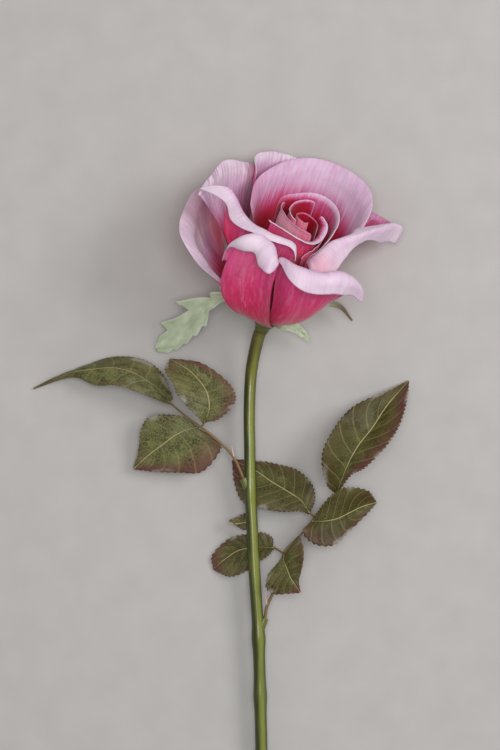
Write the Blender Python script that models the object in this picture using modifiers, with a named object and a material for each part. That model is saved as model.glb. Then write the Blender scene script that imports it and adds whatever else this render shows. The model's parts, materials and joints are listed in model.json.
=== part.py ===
"""An artificial rose: cloth petals and leaves on a moulded plastic stem, lying on its back on a table.

Design frame: X to the right, Y along the stem towards the flower, Z up off the table. The foot of
the flower, where the outermost petal is seated, is at X = Y = 0.

Head frame, for the petals, the hip and the sepals: Z along the flower's own axis, X to the right,
Y to the back of the flower, which is the side that lies on the table. Azimuths are in degrees from
head X towards head Y: 0 is the right, 90 the back, 180 the left and 270 the front.
"""

import math
from dataclasses import dataclass

import bmesh
import bpy
from mathutils import Matrix, Vector

MM = 0.001

# The flower's attitude: its axis leans to the right of the stem and rises off the table.
HEAD_LEAN = 21.0
HEAD_TILT = 30.0
HEAD_HEIGHT = 22.0

PETAL_CLOTH = 0.5
LEAF_CLOTH = 0.45
SEAT_GAP = 0.3

# The peg in the middle of the flower, a cone that the petals are seated on one above the other.
PEG_RADIUS = 3.6
PEG_TIP_RADIUS = 1.4
PEG_LENGTH = 18.0
SEAT_STEP = 1.1

# How a petal's length is divided: up to the neck, up to the crest of the rim, and the lip.
BODY_SHARE = 0.62
CREST_SHARE = 0.8

# The stem: a moulding with a spigot at the top, which the hip's socket takes. It bends away from the
# flower and then lies nearly level. Its last stretch is straight, so that its cut end is square to Y.
STEM_LENGTH = 355.0
STEM_TOP_RADIUS = 2.9
STEM_NECK_RADIUS = 2.55
STEM_END_RADIUS = 3.0
STEM_SQUARE_END = 6.0
STEM_SIDES = 4
STEM_STEP = 12.0
SPIGOT_RADIUS = 2.1
SPIGOT_LENGTH = 3.4
SOCKET_GAP = 0.3

# The hip under the petals, turned in the head frame, and the ring of sepals between the two.
HIP_TOP = -1.9
HIP_BOTTOM = -6.4
HIP_RADIUS = 4.6
HIP_WALL = 0.8
STAR_HOLE_GAP = 0.3
STAR_RING_RADIUS = 5.4
STAR_CLOTH = 0.45
STAR_HEIGHT = HIP_TOP + SEAT_GAP + STAR_CLOTH / 2

# The sprig stalks. Each ends in a peg that is pushed into a bored stub on the stem.
STALK_RADIUS = 0.75
STALK_TAPER = 0.6
PEG_FIT = 0.3
STUB_WALL = 0.7
STUB_FLOOR = 0.45
PRONG_RADIUS = 0.4
PRONG_SHARE = 0.55

# The middle of the stem between the neck and the cut end.
STEM_ROUTE = (
    (-6.6, -24, 10.8), (-7.5, -42, 10), (-7.3, -60, 10), (-7.1, -78, 10), (-6.2, -95, 9.8),
    (-5.4, -112, 9.4), (-4.3, -129, 8.9), (-3.3, -146, 8.3), (-2.5, -175, 7.2), (-1.8, -205, 6.2),
    (-1, -240, 5.2), (-0.2, -280, 4.2), (0.5, -320, 3.4))

# How much thicker the stem is at each node, by its distance down the stem.
STEM_SWELL = {78: 0.35, 146: 0.5, 172: 0.4}

# Where the sprigs join the stem, and the lines of their stalks.
LEFT_RACHIS = (
    (-10.8, -71.1, 11.4), (-14.4, -63.4, 12.6), (-20, -57.1, 13.6), (-28.3, -50.2, 13.6),
    (-35.3, -45.2, 13.5), (-43.3, -38.7, 11.0))
LEFT_STUB = ((-7.4, -78.6, 10.1), (-10.3, -72.6, 11.0))
RIGHT_RACHIS = (
    (0.6, -131, 9.2), (3.2, -125, 9.6), (5.6, -116.8, 10), (8.2, -107, 10.4), (11.9, -102.4, 10.8),
    (16, -98.3, 11.2), (21.2, -91.9, 11.8), (26.5, -85.8, 12.6), (31.8, -80.2, 13.0))
RIGHT_STUB = ((-3.6, -144.5, 8.5), (-0.5, -136.5, 8.9))

# The mesh: columns across, and rows along.
PETAL_COLUMNS = 10
BODY_ROWS = (0.0, 0.1, 0.2, 0.32, 0.46, 0.62, 0.71, 0.8)
LIP_ROWS = (0.9, 1.0)
LEAF_COLUMNS = 4
LEAF_ROWS = 20
# The ring of sepals is divided as if it had eight arms.
RING_ARMS = 8
ARM_COLUMNS = 4
ARM_ROWS = 14


@dataclass
class Petal:
    """One petal. Lengths are in millimetres and angles in degrees, in the head frame.

    seat counts the petals from the outermost, which is 0: each sits one step higher on the peg.
    turn and spread are the azimuth of its middle and its half width at the rim. claw and belly are
    the half width at the peg and in the bowl, as shares of spread, and veer is how far round the
    claw is shifted. start is the slope at which it leaves the peg and neck the slope where the rim
    begins to curl, one number or a list, with curl the radius of that curl. The lists run from its
    lowest azimuth to its highest. radius and height place the crest of the rim, lip is the cloth's
    width beyond the crest, and brim is the slope at its edge, below zero where the lip droops.
    roll is the share of the lip that bends, before it runs on straight. bulge is the reach of the
    bowl's curve at the peg and at the neck, and corner how much the rim's corners are rounded.
    """

    name: str
    seat: int
    turn: float
    spread: float
    start: float
    neck: float | tuple
    curl: float
    radius: tuple
    height: tuple
    lip: tuple = (0,)
    brim: tuple = (35,) * 5
    roll: float = 1.0
    claw: float = 0.8
    belly: float = 1.0
    veer: float = 0.0
    bulge: tuple = (0.45, 0.4)
    corner: float = 0.12


PETALS = [
    Petal("petal_outer_front_left", 0, 233, 20, 11, 100, 3.5,
          radius=(36.8, 37.5, 33.5, 28.8, 28.5, 31.5, 32), height=(33.5, 43, 50.5, 51, 49, 46.3, 43.5),
          lip=(1, 2.5, 11, 9.5, 12, 9, 3), brim=(-175, -175, -150, -110, -85, -65, -50),
          claw=1.8, belly=1.15, veer=14, bulge=(0.38, 0.42), corner=0.03),
    Petal("petal_outer_front_right", 1, 292, 42, 12, (100, 100, 100, 100, 92, 70, 48), 3.5,
          radius=(25.5, 27, 32, 29.5, 31.5, 34.3, 37), height=(43.5, 45.5, 46.6, 44.2, 45.2, 40, 33.3),
          lip=(1.5, 3.5, 9.5, 10, 11, 8.5, 1), brim=(-50, -60, -62, -75, -95, -100, -60), roll=0.6,
          claw=1.0, belly=0.78, veer=6, bulge=(0.34, 0.38), corner=0.03),
    Petal("petal_outer_left", 2, 166.5, 36.5, 18, (66, 66, 66, 62, 52), 10,
          radius=(45, 54, 51.5, 49.5, 31), height=(29, 37, 35.5, 31, 16),
          claw=0.7, belly=0.75, veer=-4),
    Petal("petal_outer_back_left", 3, 142, 36, 28, (72, 72, 72, 72, 66, 52, 42), 10,
          radius=(52, 51, 48, 47.5, 45.5, 47, 48), height=(46, 49, 52.5, 56, 55, 52, 50),
          claw=0.6, belly=0.6, veer=-8, corner=0.02),
    Petal("petal_outer_back_right", 4, 64, 32, 29, (50, 54, 68, 75, 75), 10,
          radius=(53, 58.5, 50.5, 46, 39.5), height=(49, 45, 44.5, 37, 25), claw=0.6, belly=0.5, veer=8,
          bulge=(0.4, 0.36), corner=0.02),
    Petal("petal_outer_back", 5, 95, 27, 34, 72, 10,
          radius=(46, 50, 55, 50.5, 44), height=(42, 48, 55, 56.5, 55), bulge=(0.4, 0.36)),
    Petal("petal_outer_right", 6, -20, 50, 33, (85, 85, 85, 80, 70, 58, 50), 2.6,
          radius=(16.7, 16.8, 16.4, 17.4, 28, 42.7, 55), height=(40, 43.5, 47.1, 50.2, 53.8, 53.6, 49.5),
          lip=(6, 10, 12, 9.5, 5, 10.5, 11.5), brim=(-40, -50, -60, -60, -90, -100, -98), roll=0.4,
          claw=0.6, belly=0.5, bulge=(0.42, 0.32), corner=0.0),
    Petal("petal_middle_back", 7, 83, 66, 37, 76, 12,
          radius=(27.5, 32.7, 46.5, 50.5, 40, 29.5, 26.5), height=(46, 50.8, 59.2, 59.5, 53, 48, 45)),
    Petal("petal_middle_front_left", 8, 222, 45, 45, 100, 3,
          radius=(36.5, 31.5, 28, 24, 19.5, 18.5, 20), height=(57, 53, 51, 51, 50.5, 49, 43.5),
          lip=(13, 5, 6, 4.5, 3.5, 3, 2), brim=(-44, -40, -60, -50, -50, -40, -30),
          belly=0.75, veer=12, corner=0.0),
    Petal("petal_inner_back", 9, 54, 111, 48, 85, 5,
          radius=(12.7, 12.9, 15, 21, 16.8, 14, 13.6), height=(41.5, 44.6, 50.5, 57, 56.2, 55.5, 55),
          brim=(50,) * 5),
    Petal("petal_inner_right", 10, -22, 53, 60, 90, 3,
          radius=(13.2, 11.7, 11, 12.4, 13), height=(41.5, 43.8, 46.3, 49, 48), brim=(50,) * 5),
    Petal("petal_inner_front", 11, 305, 90, 60, 90, 2,
          radius=(20, 15.5, 10.9, 10.3, 9.8), height=(54, 52, 48.5, 53, 54),
          lip=(1, 1, 1.5, 1, 0), brim=(20, 10, 0, 20, 40), bulge=(0.42, 0.33)),
    Petal("petal_bud_left", 12, 225, 85, 66, 92, 2,
          radius=(12.5, 11.5, 7, 7, 8.5), height=(56, 55, 52.5, 51, 50), brim=(50,) * 5),
    Petal("petal_bud_back", 13, 150, 80, 70, 94, 2,
          radius=(16, 12, 8, 6.5, 5.5), height=(57, 56.5, 55, 54.5, 53), brim=(50,) * 5),
    Petal("petal_bud_heart", 14, 150, 175, 76, 94, 1,
          radius=(7.9, 6.3, 3.8, 3.3, 2.6), height=(51, 53, 54, 53.5, 53), brim=(60,) * 5),
]


@dataclass
class Leaf:
    """One leaflet, in millimetres and degrees.

    base is where its stalk ends, in the design frame. heading is the way it points, from X towards
    Y. Its outline is in its own frame, with Y towards the tip and X to its right: the rib, with a
    height for each point, and its left and right margins. fold lifts the margins off the rib.
    """

    name: str
    base: tuple
    heading: float
    rib: tuple
    left: tuple
    right: tuple
    fold: tuple = (12.0, 12.0)
    tooth: float = 0.5


LEFT_TERMINAL = Leaf(
    "leaf_left_terminal", (-43.5, -38.5, 11.5), 174,
    rib=((0, 0, 0), (9.5, 12, 2), (13.5, 25, 2), (11.5, 38.5, -1), (7.5, 51.5, -5.5), (0, 63.5, -10.6)),
    left=((1, 6), (4, 16.5), (5.5, 26), (4.5, 35), (7, 46)),
    right=((3.5, -0.5), (13.5, 5.5), (18.5, 15), (18, 29), (12, 43)), fold=(8, -14))
LEFT_UPPER = Leaf(
    "leaf_left_upper", (-28, -47.5, 15.5), 118,
    rib=((0, 0, 0), (5, 4.5, 1), (7.5, 10.5, 1), (7.5, 16.5, 0), (5, 25, -2), (0, 33, -5)),
    left=((-1, 3), (-3, 10.5), (-4.5, 17.5), (-4, 23), (-4.5, 29.5)),
    right=((6.5, -1.5), (14.5, 0.5), (18.5, 4.5), (18, 12.5), (11.5, 25)), fold=(24, 10))
LEFT_LOWER = Leaf(
    "leaf_left_lower", (-31, -49.5, 12.5), -147,
    rib=((0, 0, 0), (2, 5.5, 0.5), (2.5, 12, 0), (2, 20, -2), (1.5, 26.5, -4.5), (0, 35, -8)),
    left=((-8.5, -4), (-14, -3.5), (-18, 9), (-12.5, 18.5), (-6, 28)),
    right=((6.5, 2), (12.5, 8.5), (16, 16), (13, 22.5), (7, 27.5)), fold=(-6, -4))
RIGHT_TERMINAL = Leaf(
    "leaf_right_terminal", (32, -80, 13.5), 57,
    rib=((0, 0, 0), (-3, 13, 3), (-4, 24, 4), (-3, 34, 2), (-2.5, 47, -4), (0, 61.5, -12.6)),
    left=((-7, 2), (-15.5, 11.5), (-17.5, 24.5), (-15.5, 37.5), (-7.5, 50.5)),
    right=((0.5, 10.5), (4, 18), (6.5, 31), (6.5, 42), (4, 52.5)), fold=(12, 30))
RIGHT_LOWER = Leaf(
    "leaf_right_lower", (21, -92, 15), 16,
    rib=((0, 0, 0), (1.5, 5.5, 0.5), (2, 11.5, 0.5), (1, 17.5, 0), (0, 24, -1.5), (0, 30.5, -4)),
    left=((-3.5, 3.5), (-7, 8), (-10.5, 15), (-10, 21.5), (-6, 28.5)),
    right=((3, -5.5), (10, -2), (13, 6.5), (9, 15), (4, 24.5)), fold=(10, 6))
RIGHT_UPPER = Leaf(
    "leaf_right_upper", (20, -88.5, 11), 146,
    rib=((0, 0, 0), (2.5, 6.5, -1.2), (2.5, 14, -3.4), (2, 22.5, -6), (2, 32, -8.4), (0, 42.5, -10)),
    left=((-2, 4.5), (-6.5, 10.5), (-10.5, 19), (-13, 28), (-8, 36)),
    right=((6.5, 1.5), (11.5, 6.5), (13, 15), (10.5, 23.5), (6.5, 32.5)), fold=(4, 4))
RIGHT_BACK = Leaf(
    "leaf_right_back", (3.5, -104.5, 6.5), -160,
    rib=((0, 0, 0), (2, 5, -1), (3.5, 10.5, -2.2), (4, 16, -3.4), (2.5, 22, -4.6), (0, 29.5, -5.6)),
    left=((-2.5, 3), (-4, 8.5), (-6, 15.5), (-6, 23), (-2.5, 27.5)),
    right=((4.5, -1), (8.5, 3), (10, 10), (10.5, 18), (6, 27.5)), fold=(3, 3))
RIGHT_FRONT = Leaf(
    "leaf_right_front", (8.5, -107, 13), -68,
    rib=((0, 0, 0), (1.5, 2.5, 1.5), (1.5, 6.5, 3.5), (1.5, 11, 5), (0.5, 15, 5.5), (0, 18.5, 5)),
    left=((-4.5, -2.5), (-9, -5.5), (-9, 0.5), (-6, 7), (-1.5, 13.5)),
    right=((4.5, 2.5), (10.5, 6), (13.5, 11), (11, 15), (5, 17)), fold=(10, -10))


BRACT = Leaf(
    "bract", (-9.3, -93, 7.6), 188,
    rib=((0, 0, 0), (0, 1.5, -0.2), (0, 3, -0.3), (0, 4.4, -0.1), (0.5, 5.7, 0.3), (1.6, 7.2, 1)),
    left=((-3.6, -0.6), (-3.4, 1.2), (-2.4, 2.8), (-1, 4.2), (0.6, 5.6)),
    right=((4.2, -0.4), (4, 1.4), (3.2, 3.2), (2.6, 4.8), (2.4, 6.2)), fold=(6, 6), tooth=0.1)


@dataclass
class Sprig:
    """One sprig of leaves, in millimetres in the design frame.

    stub is the line of the stem's stub that takes its peg. rachis is the line of its stalk from
    there to the last leaflet, and stipules are thin points beside it, each a foot and a tip.
    """

    name: str
    stub: tuple
    rachis: tuple
    leaves: tuple
    stipules: tuple


SPRIGS = (
    Sprig("left_sprig_stalk", LEFT_STUB, LEFT_RACHIS, (LEFT_TERMINAL, LEFT_UPPER, LEFT_LOWER),
          stipules=(((-14.4, -63.4, 12.6), (-15.6, -57.8, 14)),)),
    Sprig("right_sprig_stalk", RIGHT_STUB, RIGHT_RACHIS,
          (RIGHT_TERMINAL, RIGHT_LOWER, RIGHT_UPPER, RIGHT_BACK, RIGHT_FRONT),
          stipules=(((0.6, -131, 9.2), (-0.4, -123, 11)),)),
)


@dataclass
class Arm:
    """One arm of the sepal star, in millimetres.

    turn is the azimuth at which it leaves the ring. spine is its middle line in the design frame,
    from the ring to the tip. left and right are the half widths along it, seen with the tip up, as
    pairs of a place from 0 at the ring to 1 at the tip and the half width there.
    """

    turn: float
    spine: tuple
    left: tuple
    right: tuple


# The margin of a sepal that lies under the flower, with a tooth half way along.
PLAIN_MARGIN = ((0, 3), (0.3, 4), (0.5, 5), (0.57, 3.6), (0.71, 3.8), (0.8, 2.4), (1, 0.5))

STAR_ARMS = (
    Arm(180, ((-10.4, 5.5, 20.5), (-15.3, 8.9, 21), (-20.8, 9.1, 20.5), (-26.6, 6.4, 18.5), (-31.7, 1.1, 15),
              (-37.3, -4.7, 10.5), (-43.8, -9.7, 5.5), (-50.3, -13.9, 1.2)),
        left=((0, 3), (0.25, 1.5), (0.36, 1.9), (0.46, 3.2), (0.53, 2.9), (0.65, 6.4), (0.86, 5.7),
              (0.93, 4.4), (1, 0.8)),
        right=((0, 3), (0.22, 1.6), (0.34, 2.3), (0.43, 3.8), (0.45, 1.5), (0.54, 5), (0.643, 11.5),
               (0.66, 4.2), (0.74, 6.1), (0.857, 9), (0.875, 4.2), (0.93, 3.9), (1, 0.7))),
    Arm(135, ((-7, 5, 13.5), (-10.5, 9, 10.5), (-14, 12.5, 8), (-18, 16, 5.5), (-22, 19, 3), (-26, 21.5, 1)),
        left=PLAIN_MARGIN, right=PLAIN_MARGIN),
    Arm(90, ((0.2, 5.5, 11.5), (1.2, 9, 8), (2.2, 12.5, 5.2), (3, 16, 3), (3.6, 20, 1.6), (4, 24, 0.9)),
        left=PLAIN_MARGIN, right=PLAIN_MARGIN),
    Arm(45, ((7.5, 0.5, 13), (13, 1.5, 11), (20, 2.5, 9.5), (27, 4, 9.5), (34, 4, 10.5), (39.3, -0.9, 10)),
        left=PLAIN_MARGIN,
        right=((0, 2.5), (0.3, 4), (0.43, 4.2), (0.5, 3), (0.65, 3.6), (0.8, 2.2), (1, 0.5))),
    Arm(0, ((8.5, -3, 16.5), (11.5, -3.6, 14.8), (14.5, -5, 13), (17, -7, 11), (18.8, -8.8, 9),
            (20.4, -10.6, 7)),
        left=((0, 2.2), (0.43, 2.2), (0.71, 1.6), (0.75, 1.1), (1, 0.3)),
        right=((0, 2.2), (0.35, 2.2), (0.71, 1.5), (1, 0.3))),
)


def blend(a, b, t):
    return a + (b - a) * t


def ease(t):
    """A smooth step from 0 to 1."""
    t = min(max(t, 0.0), 1.0)
    return t * t * (3 - 2 * t)


def along(values, s):
    """A smooth curve through evenly spaced values, read at s from -1 at the first to 1 at the last."""
    place = (s + 1) / 2 * (len(values) - 1)
    i = min(int(place), len(values) - 2)
    t = place - i
    p1, p2 = values[i], values[i + 1]
    p0 = values[i - 1] if i else 2 * p1 - p2
    p3 = values[i + 2] if i + 2 < len(values) else 2 * p2 - p1
    rise = (p2 - p0) / 2
    fall = (p3 - p1) / 2
    return (p1 * (1 + 2 * t) * (1 - t) ** 2 + rise * t * (1 - t) ** 2
            + p2 * t * t * (3 - 2 * t) + fall * t * t * (t - 1))


def toothed(pairs, t):
    """Straight lines through pairs of a place and a value, read at place t."""
    for (low, first), (high, second) in zip(pairs, pairs[1:]):
        if t <= high:
            return blend(first, second, (t - low) / (high - low))
    return pairs[-1][1]


def peg_radius(height):
    return blend(PEG_RADIUS, PEG_TIP_RADIUS, height / PEG_LENGTH)


def petal_point(petal, s, v):
    """A point of the petal, s from -1 at its left edge to 1, v from 0 at the peg to 1 at its edge."""
    v *= 1 - petal.corner * s ** 8
    neck = math.radians(along(petal.neck, s) if isinstance(petal.neck, tuple) else petal.neck)
    brim = math.radians(along(petal.brim, s))
    crest = max(0.0, brim)
    crest_r, crest_h = along(petal.radius, s), along(petal.height, s)
    neck_r = crest_r - petal.curl * (math.sin(neck) - math.sin(crest))
    neck_h = crest_h - petal.curl * (math.cos(crest) - math.cos(neck))
    if v <= BODY_SHARE:
        t = v / BODY_SHARE
        seat_h = petal.seat * SEAT_STEP
        seat_r = peg_radius(seat_h) + SEAT_GAP + PETAL_CLOTH / 2
        chord = math.hypot(neck_r - seat_r, neck_h - seat_h)
        start = math.radians(petal.start)
        k0, k1 = petal.bulge[0] * chord, petal.bulge[1] * chord
        b0, b1, b2, b3 = (1 - t) ** 3, 3 * t * (1 - t) ** 2, 3 * t * t * (1 - t), t ** 3
        r = (b0 * seat_r + b1 * (seat_r + k0 * math.cos(start))
             + b2 * (neck_r - k1 * math.cos(neck)) + b3 * neck_r)
        h = (b0 * seat_h + b1 * (seat_h + k0 * math.sin(start))
             + b2 * (neck_h - k1 * math.sin(neck)) + b3 * neck_h)
    elif v <= CREST_SHARE:
        slope = blend(neck, crest, (v - BODY_SHARE) / (CREST_SHARE - BODY_SHARE))
        r = neck_r + petal.curl * (math.sin(neck) - math.sin(slope))
        h = neck_h + petal.curl * (math.cos(slope) - math.cos(neck))
    else:
        t = (v - CREST_SHARE) / (1 - CREST_SHARE)
        lip = max(0.0, along(petal.lip, s))
        if brim < -0.01:
            bend = lip * petal.roll / -brim
            swept = -brim * min(t / petal.roll, 1.0)
            beyond = lip * max(t - petal.roll, 0.0)
            r = crest_r + bend * math.sin(swept) + beyond * math.cos(brim)
            h = crest_h - bend * (1 - math.cos(swept)) + beyond * math.sin(brim)
        else:
            r = crest_r + lip * t * math.cos(brim)
            h = crest_h + lip * t * math.sin(brim)
    share = blend(blend(petal.claw, petal.belly, ease(v / 0.3)), 1.0, ease((v - 0.3) / 0.4))
    middle = petal.turn + petal.veer * (1 - ease(v / 0.6))
    azimuth = math.radians(middle + petal.spread * share * math.sin(math.pi * s / 2))
    return Vector((r * math.cos(azimuth), r * math.sin(azimuth), h))


def along_points(points, t):
    """A smooth curve through evenly spaced points, read at t from 0 to 1."""
    return Vector([along([p[k] for p in points], 2 * t - 1) for k in range(len(points[0]))])


def leaf_point(leaf, x, t):
    """A point of the leaf, x from -1 at its left margin to 1 and t from 0 at its base to 1."""
    rib = along_points(leaf.rib, t)
    side = leaf.right if x > 0 else leaf.left
    out = 1 if x > 0 else -1
    margin = along_points(((0.6 * out, 0), *side, (leaf.rib[-1][0] + 0.35 * out, leaf.rib[-1][1])), t)
    reach = margin - rib.xy
    fold = math.radians(leaf.fold[1 if x > 0 else 0])
    place = rib.xy + reach * abs(x)
    lift = math.sin(fold) * reach.length * abs(x)
    return Vector((place.x, place.y, rib.z + lift))


def leaf_frame(leaf):
    turn = Matrix.Rotation(math.radians(leaf.heading - 90), 4, "Z")
    return Matrix.Translation(Vector(leaf.base)) @ turn


def clear_scene():
    for obj in list(bpy.data.objects):
        bpy.data.objects.remove(obj, do_unlink=True)


def material(name, colour, roughness, metallic=0.0):
    mat = bpy.data.materials.new(name)
    mat.use_nodes = True
    shader = mat.node_tree.nodes["Principled BSDF"]
    shader.inputs["Base Color"].default_value = (*colour, 1.0)
    shader.inputs["Roughness"].default_value = roughness
    shader.inputs["Metallic"].default_value = metallic
    return mat


def new_object(name, mesh, collection, mat, parent=None):
    obj = bpy.data.objects.new(name, mesh)
    collection.objects.link(obj)
    obj.data.materials.append(mat)
    if parent:
        obj.parent = parent
    return obj


def grid_mesh(name, columns, rows, point):
    """A grid bent to point(u, v), with u and v from 0 to 1."""
    mesh = bpy.data.meshes.new(name)
    bm = bmesh.new()
    bmesh.ops.create_grid(bm, x_segments=columns, y_segments=rows, size=1.0)
    for vert in bm.verts:
        vert.co = point((vert.co.x + 1) / 2, (vert.co.y + 1) / 2) * MM
    bmesh.ops.recalc_face_normals(bm, faces=bm.faces)
    bm.to_mesh(mesh)
    bm.free()
    mesh.shade_smooth()
    return mesh


def thicken(obj, cloth):
    shell = obj.modifiers.new("cloth", "SOLIDIFY")
    shell.thickness = cloth * MM
    shell.offset = 0.0
    shell.use_quality_normals = True


def petal_object(petal, head, collection, mat):
    rows = BODY_ROWS + (LIP_ROWS if max(petal.lip) > 0 else ())

    def point(u, v):
        return petal_point(petal, 2 * u - 1, rows[round(v * (len(rows) - 1))])

    mesh = grid_mesh(petal.name, PETAL_COLUMNS, len(rows) - 1, point)
    thicken(new_object(petal.name, mesh, collection, mat, head), PETAL_CLOTH)


def leaf_object(leaf, collection, mat):
    frame = leaf_frame(leaf)

    def point(u, v):
        x = 2 * u - 1
        place = leaf_point(leaf, x, v)
        if abs(x) > 0.99 and round(v * LEAF_ROWS) % 2:
            place = place + (place - leaf_point(leaf, x * 0.9, v)).normalized() * leaf.tooth
        return frame @ place

    mesh = grid_mesh(leaf.name, LEAF_COLUMNS, LEAF_ROWS, point)
    thicken(new_object(leaf.name, mesh, collection, mat), LEAF_CLOTH)


def turned(name, profile, steps, collection, mat, parent=None):
    """A solid turned about Z from a profile of (radius, height), listed from the top down."""
    mesh = bpy.data.meshes.new(name)
    points = [(r * MM, 0, h * MM) for r, h in profile]
    mesh.from_pydata(points, [(i, i + 1) for i in range(len(points) - 1)], [])
    obj = new_object(name, mesh, collection, mat, parent)
    screw = obj.modifiers.new("turn", "SCREW")
    screw.steps = steps
    screw.render_steps = steps
    screw.use_merge_vertices = True
    screw.merge_threshold = 0.00001
    return obj


def tube(name, points, radii, sides, collection, mat):
    """A tube along points, with a radius at each, as a closed mesh."""
    curve = bpy.data.curves.new(name, "CURVE")
    curve.dimensions = "3D"
    curve.bevel_depth = MM
    curve.bevel_resolution = sides
    curve.use_fill_caps = True
    spline = curve.splines.new("POLY")
    spline.points.add(len(points) - 1)
    for knot, place, radius in zip(spline.points, points, radii):
        knot.co = (*(Vector(place) * MM), 1.0)
        knot.radius = radius
    guide = bpy.data.objects.new(name + "_guide", curve)
    collection.objects.link(guide)
    mesh = bpy.data.meshes.new_from_object(guide.evaluated_get(bpy.context.evaluated_depsgraph_get()))
    mesh.name = name
    bpy.data.objects.remove(guide, do_unlink=True)
    mesh.materials.clear()
    bm = bmesh.new()
    bm.from_mesh(mesh)
    bmesh.ops.remove_doubles(bm, verts=bm.verts, dist=0.00001)
    bmesh.ops.recalc_face_normals(bm, faces=bm.faces)
    bm.to_mesh(mesh)
    bm.free()
    mesh.shade_smooth()
    mesh.set_sharp_from_angle(angle=math.radians(40))
    return new_object(name, mesh, collection, mat)


def boolean(obj, other, operation):
    modifier = obj.modifiers.new(f"{operation.lower()} {other.name}", "BOOLEAN")
    modifier.operation = operation
    modifier.object = other
    modifier.solver = "EXACT"
    other.hide_render = True
    other.display_type = "WIRE"


def head_frame():
    tilt, lean = math.radians(HEAD_TILT), math.radians(HEAD_LEAN)
    axis = Vector((math.cos(tilt) * math.sin(lean), math.cos(tilt) * math.cos(lean), math.sin(tilt)))
    right = (Vector((1, 0, 0)) - axis * axis.x).normalized()
    back = axis.cross(right)
    turn = Matrix((right, back, axis)).transposed().to_4x4()
    return Matrix.Translation((0, 0, HEAD_HEIGHT)) @ turn


def hip_object(head, collection, mat):
    """The hip: one moulding with the peg above it and the stem's socket below."""
    socket = SPIGOT_RADIUS + SOCKET_GAP
    roof = HIP_BOTTOM + SPIGOT_LENGTH + SOCKET_GAP
    profile = ((0, PEG_LENGTH), (PEG_TIP_RADIUS, PEG_LENGTH), (PEG_RADIUS, 0), (PEG_RADIUS, HIP_TOP),
               (HIP_RADIUS, HIP_TOP), (HIP_RADIUS, HIP_TOP - 0.8), (socket + HIP_WALL + 0.3, -4.6),
               (socket + HIP_WALL, HIP_BOTTOM), (socket, HIP_BOTTOM), (socket, roof), (0, roof))
    hip = turned("hip", profile, 24, collection, mat, head)
    hip.data.set_sharp_from_angle(angle=math.radians(40))


def star_object(collection, mat):
    """The sepals: a ring of cloth with an arm leaving it at each of five places."""
    frame = head_frame()
    hole = PEG_RADIUS + STAR_HOLE_GAP
    half_arm = 180 / RING_ARMS

    def on_ring(azimuth, radius):
        angle = math.radians(azimuth)
        return frame @ Vector((radius * math.cos(angle), radius * math.sin(angle), STAR_HEIGHT))

    bm = bmesh.new()
    columns = RING_ARMS * ARM_COLUMNS
    for vert in bmesh.ops.create_grid(bm, x_segments=columns, y_segments=1, size=1.0)["verts"]:
        vert.co = on_ring(180 * vert.co.x + half_arm, hole if vert.co.y < 0 else STAR_RING_RADIUS) * MM
    for arm in STAR_ARMS:
        for vert in bmesh.ops.create_grid(bm, x_segments=ARM_COLUMNS, y_segments=ARM_ROWS, size=1.0)["verts"]:
            x, t = vert.co.x, (vert.co.y + 1) / 2
            root = on_ring(arm.turn - half_arm * x, STAR_RING_RADIUS)
            if t < 0.01:
                vert.co = root * MM
                continue
            spine = (on_ring(arm.turn, STAR_RING_RADIUS), *arm.spine)
            ahead = along_points(spine, min(t + 0.04, 1)) - along_points(spine, max(t - 0.04, 0))
            side = ahead.cross(Vector((0, 0, 1))).normalized()
            width = toothed(arm.right if x > 0 else arm.left, t)
            vert.co = (along_points(spine, t) + side * width * x) * MM
    bmesh.ops.remove_doubles(bm, verts=bm.verts, dist=0.00001)
    bmesh.ops.recalc_face_normals(bm, faces=bm.faces)
    mesh = bpy.data.meshes.new("sepal_star")
    bm.to_mesh(mesh)
    bm.free()
    mesh.shade_smooth()
    thicken(new_object("sepal_star", mesh, collection, mat), STAR_CLOTH)


def stem_path():
    """Points down the middle of the stem, in millimetres, from its shoulder to its square end."""
    frame = head_frame()
    shoulder = frame @ Vector((0, 0, HIP_BOTTOM - SOCKET_GAP))
    bend = frame @ Vector((0, 0, HIP_BOTTOM - 6))
    level = Vector((1.0, STEM_SQUARE_END - STEM_LENGTH, STEM_END_RADIUS))
    return [shoulder, bend, *(Vector(p) for p in STEM_ROUTE), level]


def stem_points():
    """The stem's points and radii from its shoulder down, with a swelling at each node."""
    route = stem_path()
    count = round(STEM_LENGTH / STEM_STEP)
    points = [along_points(route, i / count) for i in range(count + 1)]
    points.append(points[-1] - Vector((0, STEM_SQUARE_END, 0)))
    radii = []
    for point in points:
        share = -point.y / STEM_LENGTH
        radius = blend(STEM_NECK_RADIUS, STEM_END_RADIUS, share)
        radius += (STEM_TOP_RADIUS - STEM_NECK_RADIUS) * math.exp(-(share * STEM_LENGTH / 25) ** 2)
        for place, swell in STEM_SWELL.items():
            radius += swell * math.exp(-((point.y + place) / 5) ** 2)
        radii.append(radius)
    frame = head_frame()
    spigot = [frame @ Vector((0, 0, HIP_BOTTOM + SPIGOT_LENGTH)), frame @ Vector((0, 0, HIP_BOTTOM - 0.29))]
    return spigot + points, [SPIGOT_RADIUS, SPIGOT_RADIUS] + radii


def stub(name, ends, cutters, mat):
    """A short stub on the stem for a sprig's peg: its outside and its bore."""
    low, high = Vector(ends[0]), Vector(ends[1])
    bore = STALK_RADIUS + PEG_FIT
    outer = tube(name, [low, high], [bore + STUB_WALL + 0.5, bore + STUB_WALL], 3, cutters, mat)
    reach = [blend(low, high, STUB_FLOOR), high + (high - low) * 0.3]
    return outer, tube(name + "_bore", reach, [bore, bore], 3, cutters, mat)


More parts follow.
